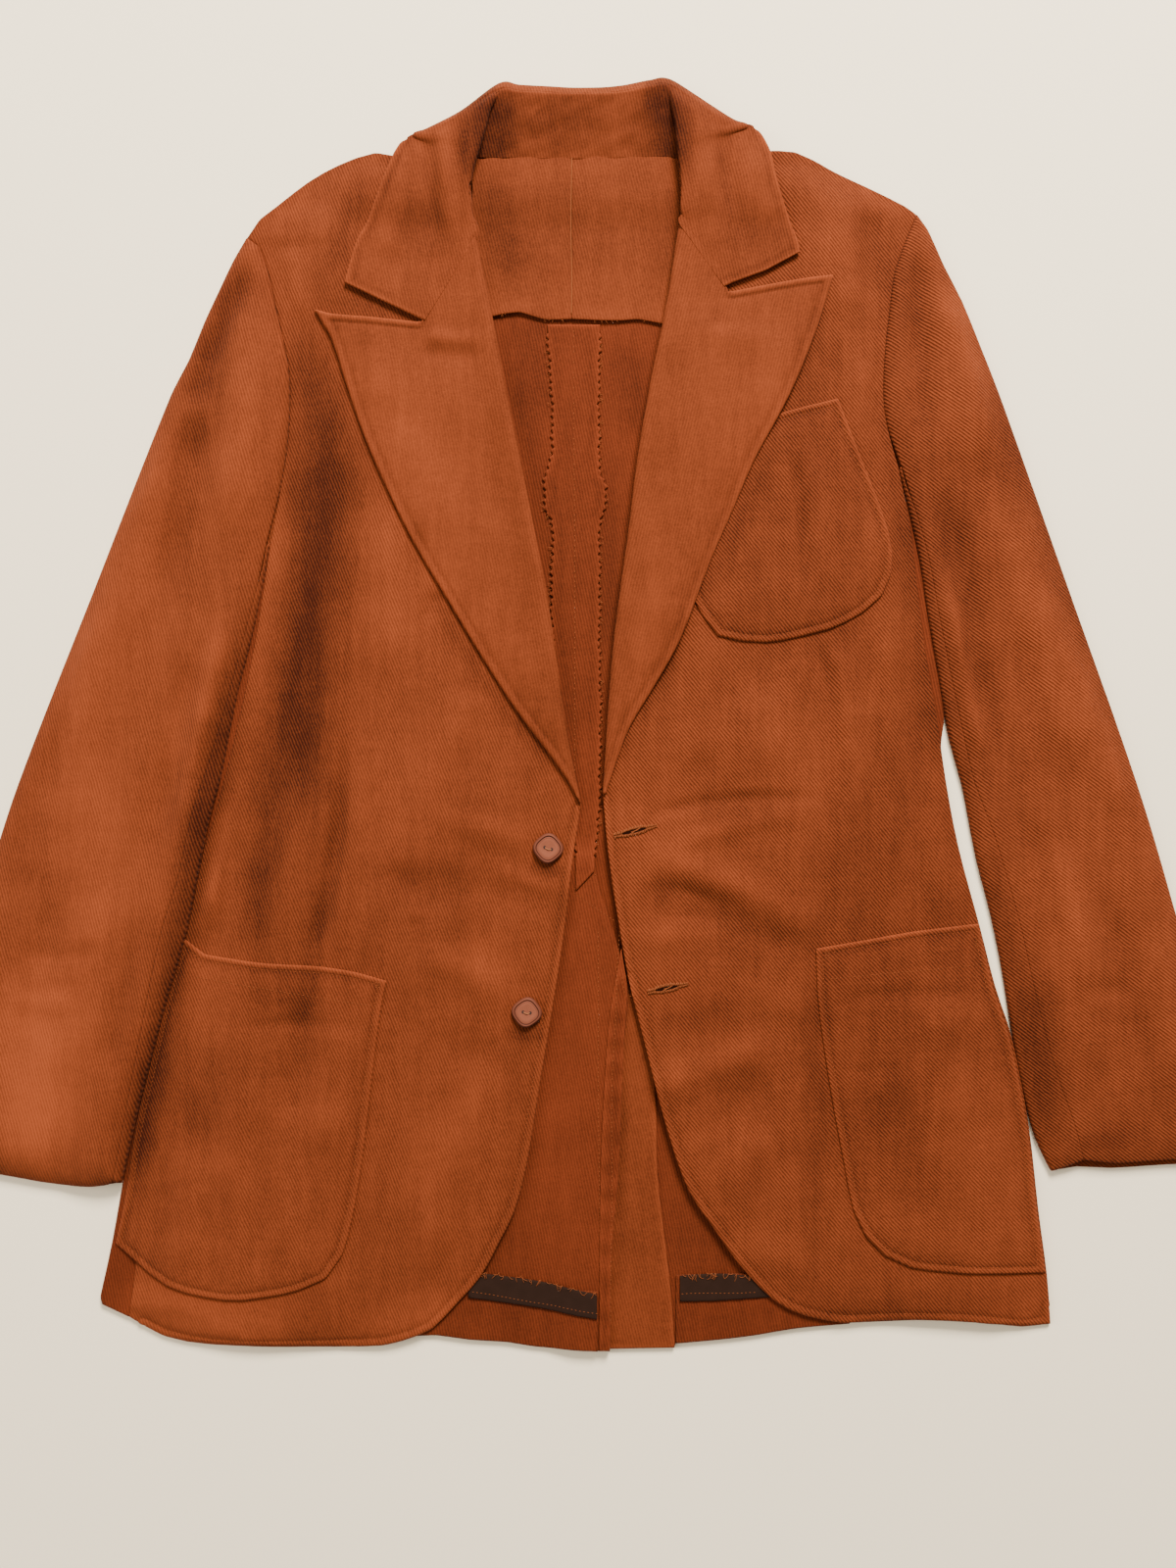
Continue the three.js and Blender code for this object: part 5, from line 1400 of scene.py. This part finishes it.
def free_runs(name, inset):
    """Lines that run beside a piece's free edge, at a distance inside it."""
    loop = OUTLINE[name]
    inward = inward_of(loop)
    outline = closed(loop)
    starts = {tuple(part[0]) for part in FREE_PARTS[name]}
    runs, run = [], []
    moved = loop + inward * inset
    clear = distance_to(outline, moved[:, 0], moved[:, 1]) > 0.93 * inset
    first = next((k for k in range(len(loop)) if tuple(loop[k]) not in starts), 0)
    for step in range(len(loop) + 1):
        k = (first + step) % len(loop)
        if tuple(loop[k]) in starts:
            if clear[k]:
                run.append(moved[k])
        elif run:
            runs.append(np.array(run))
            run = []
    if run:
        runs.append(np.array(run))
    return [run for run in runs if len(run) > 3]


def on_top(name, run, rise=0.05):
    run = np.asarray(run, float)
    return np.column_stack([run, TOP[name](run[:, 0], run[:, 1]) + rise])


def spaced(run, step=1.6):
    run = np.asarray(run, float)
    reach = length_along(run)
    at = np.arange(0, reach[-1], step)
    return np.column_stack([np.interp(at, reach, run[:, k]) for k in range(run.shape[1])])


STITCHED_EDGES = (
    "front_right", "front_left", "lapel_right", "lapel_left",
    "chest_pocket", "hip_pocket_right", "hip_pocket_left",
)


def build_stitches():
    rng = np.random.default_rng(12)
    strands = []
    for name in STITCHED_EDGES:
        inset = POCKET_STITCH_INSET if "pocket" in name else TOPSTITCH_INSET
        for run in free_runs(name, inset):
            strands += stitch_path(on_top(name, spaced(run)), TOPSTITCH, TOPSTITCH_RADIUS, rng)
    fine, thick = TOP["collar"]
    top = fine + thick
    edge = np.linalg.norm(fine - fine[:, -1:, :], axis=2)
    line = np.array([
        [np.interp(TOPSTITCH_INSET, edge[k][::-1], top[k, ::-1, c]) for c in range(3)]
        for k in range(len(top))
    ])
    ends = np.minimum(
        np.linalg.norm(line - line[0], axis=1), np.linalg.norm(line - line[-1], axis=1)
    )
    line = line[ends > 4.0]
    strands += stitch_path(spaced(line + (0, 0, 0.08)), TOPSTITCH, TOPSTITCH_RADIUS, rng)
    many("topstitching", strands)
    strands = []
    for name, x0, y0, x1, y1, length in INSIDE_ROWS:
        t = np.linspace(0, 1, 60)
        run = np.column_stack([
            x0 + (x1 - x0) * t + 0.25 * np.sin(9 * t + x0), y0 + (y1 - y0) * t + 0.2 * np.sin(7 * t),
        ])
        strands += stitch_path(on_top(name, run), length, INSIDE_STITCH_RADIUS, rng)
    t = np.linspace(0, 1, 60)
    seam = np.column_stack([FACING_SEAM_X + 0.25 * np.sin(8 * t), 263 + 103 * t])
    strands.append(tube(on_top("neck_facing_right", seam - (1.2, 0)) + (1.2, 0, -0.1), 0.34))
    many("inside_stitching", strands)


# Buttonholes: outer end, inner end and length of the worn slit, on the left front.
BUTTONHOLES = [(24.0, -78.4, 52.2, -71.4, 16.5), (45.8, -180.2, 72.6, -174.4, 15.0)]


def build_buttonholes():
    """A slit with whipped edges, a bar at its end and a few loose threads; the slit is a dark disc of
    painted shade.
    """
    rng = np.random.default_rng(5)
    whips, slits = [], []
    for x0, y0, x1, y1, slit in BUTTONHOLES:
        a, b = np.array([x0, y0]), np.array([x1, y1])
        length = np.linalg.norm(b - a)
        along = (b - a) / length
        across = np.array([-along[1], along[0]])
        middle = a + along * (length * 0.45)

        def at(u, v):
            q = middle + along * u + across * v
            return [q[0], q[1], TOP["front_left"](q[:1], q[1:])[0]]

        for k in range(int(length / 0.8)):
            u = -length * 0.45 + k * 0.8
            half_gap = 1.1 * max(0.0, 1 - (2 * u / slit) ** 2) ** 0.5 if abs(u) < slit / 2 else 0.1
            fade = 1 - 0.5 * max(0.0, (u - slit / 2) / (length * 0.55 - slit / 2 + 1e-6))
            for side in (-1, 1):
                tip = half_gap + (1.9 + rng.uniform(-0.5, 0.4)) * fade
                lean = rng.uniform(-0.35, 0.35)
                p = np.array(at(u, side * half_gap)) + (0, 0, 0.45)
                m = np.array(at(u + lean / 2, side * (half_gap + tip) / 2)) + (0, 0, 0.75)
                q = np.array(at(u + lean, side * tip)) + (0, 0, 0.05)
                whips.append(tube([p, m, q], 0.26, 5))
        # The slit: a dark disc of painted shade in its opening.
        vertices = [at(0, 0)]
        steps = 28
        for k in range(steps):
            t = 2 * math.pi * k / steps
            u, v = slit / 2 * math.cos(t), 1.15 * math.sin(t)
            vertices.append(at(u, v))
        vertices = [(v[0], v[1], v[2] + 0.22) for v in vertices]
        slits.append((vertices, [(0, 1 + k, 1 + (k + 1) % steps) for k in range(steps)]))
        for u, v, du, dv in ((-1.5, -0.7, 4.5, 1.2), (2.5, 0.6, -4.0, -1.1), (0.5, 0.1, 5.0, 0.3)):
            p, q = np.array(at(u - du / 2, v - dv / 2)), np.array(at(u + du / 2, v + dv / 2))
            m = (p + q) / 2 + (0, 0, 0.9)
            whips.append(tube([p + (0, 0, 0.4), m, q + (0, 0, 0.4)], 0.28, 5))
    many("buttonhole_thread", whips)
    many("buttonhole_slit", slits)


# Bar tacks at the pockets' upper corners: piece and centre.
BAR_TACKS = [
    ("hip_pocket_right", -129.5, -174.5), ("hip_pocket_left", 162.5, -155.5),
    ("hip_pocket_left", 262.0, -147.5),
]


def fray(x, y, z, angle, length, curl, radius):
    """A loose thread end that curls over the cloth."""
    points = []
    heading = angle
    px, py = x, y
    for k in range(6):
        points.append((px, py, z + 0.35 * math.sin(math.pi * k / 5) + 0.05))
        heading += curl / 5
        px += length / 5 * math.cos(heading)
        py += length / 5 * math.sin(heading)
    return tube(points, radius, 4)


def build_frays():
    rng = np.random.default_rng(3)
    strands = []
    for name, x0, y0 in BAR_TACKS:
        for row in range(5):
            y = y0 - 2.2 + row * 1.1
            run = on_top(name, np.column_stack([np.linspace(x0 - 2.6, x0 + 2.6, 4), np.full(4, y)]))
            strands += stitch_path(run, 1.7, 0.22, rng, gap=0.3)
    loop = OUTLINE["centre_seam_strip"]
    for _ in range(FRAYS_ON_STRIP):
        y = rng.uniform(-88, 250)
        left = rng.random() < 0.45
        x = edge_x(loop, np.array([y]), left)[0]
        z = TOP["centre_seam_strip"](np.array([x]), np.array([y]))[0] - 0.5
        outward = math.pi if left else 0
        strands.append(fray(
            x, y, z, outward + rng.uniform(-1.1, 1.1), rng.uniform(1.2, 3.4),
            rng.uniform(-1.6, 1.6), 0.12,
        ))
    for name in ("hem_tape_right", "hem_tape_left"):
        loop = OUTLINE[name]
        x = loop[:, 0].min() + 1.5
        while x < loop[:, 0].max() - 1.0:
            y = edge_y(loop, np.array([x]), False)[0] + rng.uniform(0.4, 1.2)
            z = TOP[name](np.array([x]), np.array([y]))[0] + 0.15
            for _ in range(rng.integers(1, 4)):
                strands.append(fray(
                    x + rng.uniform(-1, 1), y, z, -math.pi / 2 + rng.uniform(-0.9, 0.9),
                    rng.uniform(2.2, 5.5), rng.uniform(-1.8, 1.8), 0.14,
                ))
            x += rng.uniform(2.2, 6.4)
    for name in ("neck_facing_right", "neck_facing_left"):
        loop = OUTLINE[name]
        for _ in range(FRAYS_ON_FACING):
            x = rng.uniform(loop[:, 0].min() + 4, loop[:, 0].max() - 4)
            y = edge_y(loop, np.array([x]), True)[0] + 0.4
            z = TOP[name](np.array([x]), np.array([y]))[0] - 0.6
            strands.append(fray(
                x, y, z, -math.pi / 2 + rng.uniform(-0.8, 0.8), rng.uniform(1.2, 3.0),
                rng.uniform(-1.5, 1.5), 0.12,
            ))
    many("frayed_threads", strands)


def build_floor():
    size = 6000.0
    vertices = [(-size, -size, -0.4), (size, -size, -0.4), (size, size, -0.4), (-size, size, -0.4)]
    floor = mesh_object("floor", vertices, [(0, 1, 2), (0, 2, 3)])
    material = bpy.data.materials.new("floor_plain")
    material.use_nodes = True
    shader = material.node_tree.nodes["Principled BSDF"]
    shader.inputs["Base Color"].default_value = (0.97, 0.835, 0.61, 1)
    shader.inputs["Roughness"].default_value = 0.95
    floor.data.materials.append(material)


def twill(name, dark, light, lines_degrees, strength=1.0, mottle=1.0, sheen=0.02):
    """Rust twill: diagonal lines, mottled fading, and the tone attribute with wear at edges and painted
    shade and light.
    """
    material = bpy.data.materials.new(name)
    material.use_nodes = True
    tree = material.node_tree
    nodes, links = tree.nodes, tree.links
    shader = nodes["Principled BSDF"]
    place = nodes.new("ShaderNodeTexCoord")
    turn = nodes.new("ShaderNodeMapping")
    turn.inputs["Rotation"].default_value = (0, 0, math.radians(lines_degrees))
    links.new(place.outputs["Object"], turn.inputs["Vector"])
    wave = nodes.new("ShaderNodeTexWave")
    wave.inputs["Scale"].default_value = 0.314 / 0.00185
    wave.inputs["Distortion"].default_value = 0.9
    wave.inputs["Detail"].default_value = 1.0
    wave.inputs["Detail Scale"].default_value = 1.4
    links.new(turn.outputs["Vector"], wave.inputs["Vector"])

    def noise(scale, detail, rough=0.55, stretch=(1, 1, 1)):
        node = nodes.new("ShaderNodeTexNoise")
        node.inputs["Scale"].default_value = scale
        node.inputs["Detail"].default_value = detail
        node.inputs["Roughness"].default_value = rough
        squeeze = nodes.new("ShaderNodeMapping")
        squeeze.inputs["Scale"].default_value = stretch
        links.new(place.outputs["Object"], squeeze.inputs["Vector"])
        links.new(squeeze.outputs["Vector"], node.inputs["Vector"])
        return node

    def math_node(operation, a, b):
        node = nodes.new("ShaderNodeMath")
        node.operation = operation
        for socket, value in zip(node.inputs, (a, b)):
            if hasattr(value, "links"):
                links.new(value, socket)
            else:
                socket.default_value = value
        return node.outputs[0]

    broad = noise(9, 3, 0.5, (1, 0.45, 1))
    patches = noise(45, 4, 0.6, (1, 0.5, 1))
    slubs = noise(170, 3, 0.65, (1, 0.16, 1))
    picks = noise(170, 3, 0.65, (0.16, 1, 1))
    fibre = noise(700, 2, 0.75)
    # The tone attribute: wear at edges with painted shade and light from folds and strokes.
    shade = nodes.new("ShaderNodeAttribute")
    shade.attribute_name = "tone"
    tone = 0.47
    for source, amount in (
        (broad.outputs["Fac"], 0.34 * mottle), (patches.outputs["Fac"], 0.26 * mottle),
        (slubs.outputs["Fac"], 0.26), (picks.outputs["Fac"], 0.14),
        (fibre.outputs["Fac"], 0.50), (wave.outputs["Fac"], 0.40 * strength),
    ):
        tone = math_node("ADD", tone, math_node("MULTIPLY", math_node("SUBTRACT", source, 0.5), amount))
    tone = math_node("ADD", tone, shade.outputs["Fac"])
    mix = nodes.new("ShaderNodeMix")
    mix.data_type = "RGBA"
    mix.clamp_factor = True
    mix.inputs["A"].default_value = (*dark, 1)
    mix.inputs["B"].default_value = (*light, 1)
    links.new(tone, mix.inputs["Factor"])
    links.new(mix.outputs["Result"], shader.inputs["Base Color"])
    shader.inputs["Roughness"].default_value = 0.88
    shader.inputs["Sheen Weight"].default_value = sheen
    shader.inputs["Sheen Roughness"].default_value = 0.5
    shader.inputs["Sheen Tint"].default_value = (1.0, 0.75, 0.55, 1)
    shader.inputs["Specular IOR Level"].default_value = 0.06
    bump = nodes.new("ShaderNodeBump")
    bump.inputs["Strength"].default_value = 0.7 * strength
    bump.inputs["Distance"].default_value = 0.0004
    height = math_node("ADD", wave.outputs["Fac"], math_node("MULTIPLY", fibre.outputs["Fac"], 0.5))
    links.new(height, bump.inputs["Height"])
    links.new(bump.outputs["Normal"], shader.inputs["Normal"])
    return material


def shaded(name, dark, light, roughness, specular):
    """Plastic that goes from dark to light with the tone attribute, which paints shade into grooves and
    slopes.
    """
    material = plain(name, light, roughness, specular)
    tree = material.node_tree
    tone = tree.nodes.new("ShaderNodeAttribute")
    tone.attribute_name = "tone"
    blend = tree.nodes.new("ShaderNodeMix")
    blend.data_type = "RGBA"
    blend.inputs["A"].default_value = (*dark, 1)
    shader = tree.nodes["Principled BSDF"]
    cloudy = shader.inputs["Base Color"].links[0].from_socket
    tree.links.new(tone.outputs["Fac"], blend.inputs["Factor"])
    tree.links.new(cloudy, blend.inputs["B"])
    tree.links.new(blend.outputs["Result"], shader.inputs["Base Color"])
    return material


def plain(name, color, roughness, specular=0.3):
    material = bpy.data.materials.new(name)
    material.use_nodes = True
    tree = material.node_tree
    shader = tree.nodes["Principled BSDF"]
    shader.inputs["Roughness"].default_value = roughness
    shader.inputs["Specular IOR Level"].default_value = specular
    place = tree.nodes.new("ShaderNodeTexCoord")
    noise = tree.nodes.new("ShaderNodeTexNoise")
    noise.inputs["Scale"].default_value = 160
    tree.links.new(place.outputs["Object"], noise.inputs["Vector"])
    mix = tree.nodes.new("ShaderNodeMix")
    mix.data_type = "RGBA"
    mix.inputs["A"].default_value = (*[c * 0.86 for c in color], 1)
    mix.inputs["B"].default_value = (*[min(1, c * 1.12) for c in color], 1)
    tree.links.new(noise.outputs["Fac"], mix.inputs["Factor"])
    tree.links.new(mix.outputs["Result"], shader.inputs["Base Color"])
    return material


def area_light(name, location, target, size, power, color=(1, 1, 1)):
    data = bpy.data.lights.new(name, "AREA")
    data.size = size
    data.energy = power
    data.color = color
    obj = bpy.data.objects.new(name, data)
    bpy.context.scene.collection.objects.link(obj)
    obj.location = location
    obj.rotation_mode = "QUATERNION"
    obj.rotation_quaternion = (Vector(target) - Vector(location)).to_track_quat("-Z", "Y")


def build_light_and_camera():
    area_light("key", (0.55, 2.1, 1.7), (0.0, 0.0, 0), 0.9, 245, (1.0, 0.95, 0.88))
    area_light("fill", (-2.0, 0.1, 1.5), (0, 0, 0), 1.8, 42, (1.0, 0.95, 0.89))
    world = bpy.data.worlds.new("studio")
    world.use_nodes = True
    world.node_tree.nodes["Background"].inputs["Color"].default_value = (1.0, 0.97, 0.92, 1)
    world.node_tree.nodes["Background"].inputs["Strength"].default_value = 0.5
    bpy.context.scene.world = world
    camera = bpy.data.cameras.new("camera")
    camera.sensor_fit = "VERTICAL"
    camera.sensor_height = 36
    camera.sensor_width = 36
    camera.lens = 36 * CAMERA_HEIGHT / FRAME_HEIGHT
    obj = bpy.data.objects.new("camera", camera)
    bpy.context.scene.collection.objects.link(obj)
    obj.location = (
        PHOTO_CENTRE[0] * MM, PHOTO_CENTRE[1] * MM, (CAMERA_HEIGHT + CLOTH_LEVEL) * MM
    )
    bpy.context.scene.camera = obj


build_backs()
build_inside()
build_fronts()
build_pockets()
build_lapels()
build_collar()
build_sleeves()
build_buttons()
build_stitches()
build_buttonholes()
build_frays()
build_floor()
build_light_and_camera()

DARK = (0.024, 0.0041, 0.0012)
LIGHT = (0.255, 0.0520, 0.0155)
# The inside pieces take a darker copy of the twill: painted shade inside the jacket, under its fronts.
INSIDE_SHADED_DARK = (0.020, 0.0032, 0.0010)
INSIDE_SHADED_LIGHT = (0.190, 0.0350, 0.0105)
# How far each piece's twill lines lean from upright, in degrees, and how clear they are.
LINES = {
    "front_right": (-22, 0.8), "hip_pocket_right": (-25, 0.8), "lapel_right": (-12, 0.4),
    "sleeve_top_right": (-16, 0.8), "sleeve_under_right": (-16, 0.8), "front_left": (-40, 1.0),
    "hip_pocket_left": (-44, 1.0), "chest_pocket": (-40, 1.0), "lapel_left": (14, 0.4),
    "sleeve_top_left": (-52, 1.1), "sleeve_under_left": (-52, 1.1), "collar": (-14, 0.5),
}
MATERIALS = {}
for piece_name, (degrees, clear) in LINES.items():
    MATERIALS[piece_name] = twill("twill_" + piece_name, DARK, LIGHT, degrees, strength=clear)
# Darker copy of the twill: painted shade on the inside pieces.
shaded_inside_cloth = twill("twill_inside", INSIDE_SHADED_DARK, INSIDE_SHADED_LIGHT, -12, strength=0.6)
facing_cloth = twill("twill_facing", DARK, LIGHT, -14, strength=0.45, mottle=0.7)
tape_cloth = plain("tape_brown", (0.020, 0.0095, 0.0060), 0.9, 0.05)
# The dark end is painted shade in the buttons' grooves and on their rims' outer sides.
button_plastic = shaded("button_tan", (0.050, 0.012, 0.006), (0.190, 0.056, 0.029), 0.6, 0.1)
# Painted shade: dark discs over the buttons' thread holes.
painted_hole_shade = plain("button_hole", (0.03, 0.012, 0.008), 0.9)
thread_tan = plain("thread_tan", (0.30, 0.115, 0.05), 0.9, 0.05)
thread_rust = plain("thread_rust", (0.20, 0.050, 0.016), 0.9, 0.05)
thread_pale = plain("thread_pale", (0.22, 0.060, 0.020), 0.9, 0.05)
# Painted shade in the buttonholes' slits.
slit_dark = plain("slit_dark", (0.012, 0.003, 0.0015), 0.95, 0.02)

SHARED = (
    (shaded_inside_cloth, (
        "back_right", "back_left", "centre_seam_strip", "vent_hem_right", "hem_turnup_right",
        "hem_turnup_left",
    )),
    (facing_cloth, ("neck_facing_right", "neck_facing_left", "vent_facing_left")),
    (tape_cloth, ("hem_tape_right", "hem_tape_left")),
    (button_plastic, tuple(BUTTONS)),
    (painted_hole_shade, tuple(name + "_holes" for name in BUTTONS)),
    (thread_tan, tuple(name + "_thread" for name in BUTTONS)),
    (thread_rust, ("topstitching",)),
    (thread_pale, ("inside_stitching", "buttonhole_thread", "frayed_threads")),
    (slit_dark, ("buttonhole_slit",)),
)
for material, names in SHARED:
    MATERIALS.update(dict.fromkeys(names, material))

for piece_name, obj in PIECES.items():
    obj.data.materials.clear()
    obj.data.materials.append(MATERIALS[piece_name])
    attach(obj, "root")
    if piece_name in NODES:
        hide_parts(piece_name)
    if piece_name in CUT:
        width, length = CUT[piece_name]
        area = COLLAR_AREA if piece_name == "collar" else area_of(OUTLINE[piece_name])
        area += area_of(STRIP[piece_name]) if piece_name in STRIP else 0
        area = min(area, width * length)
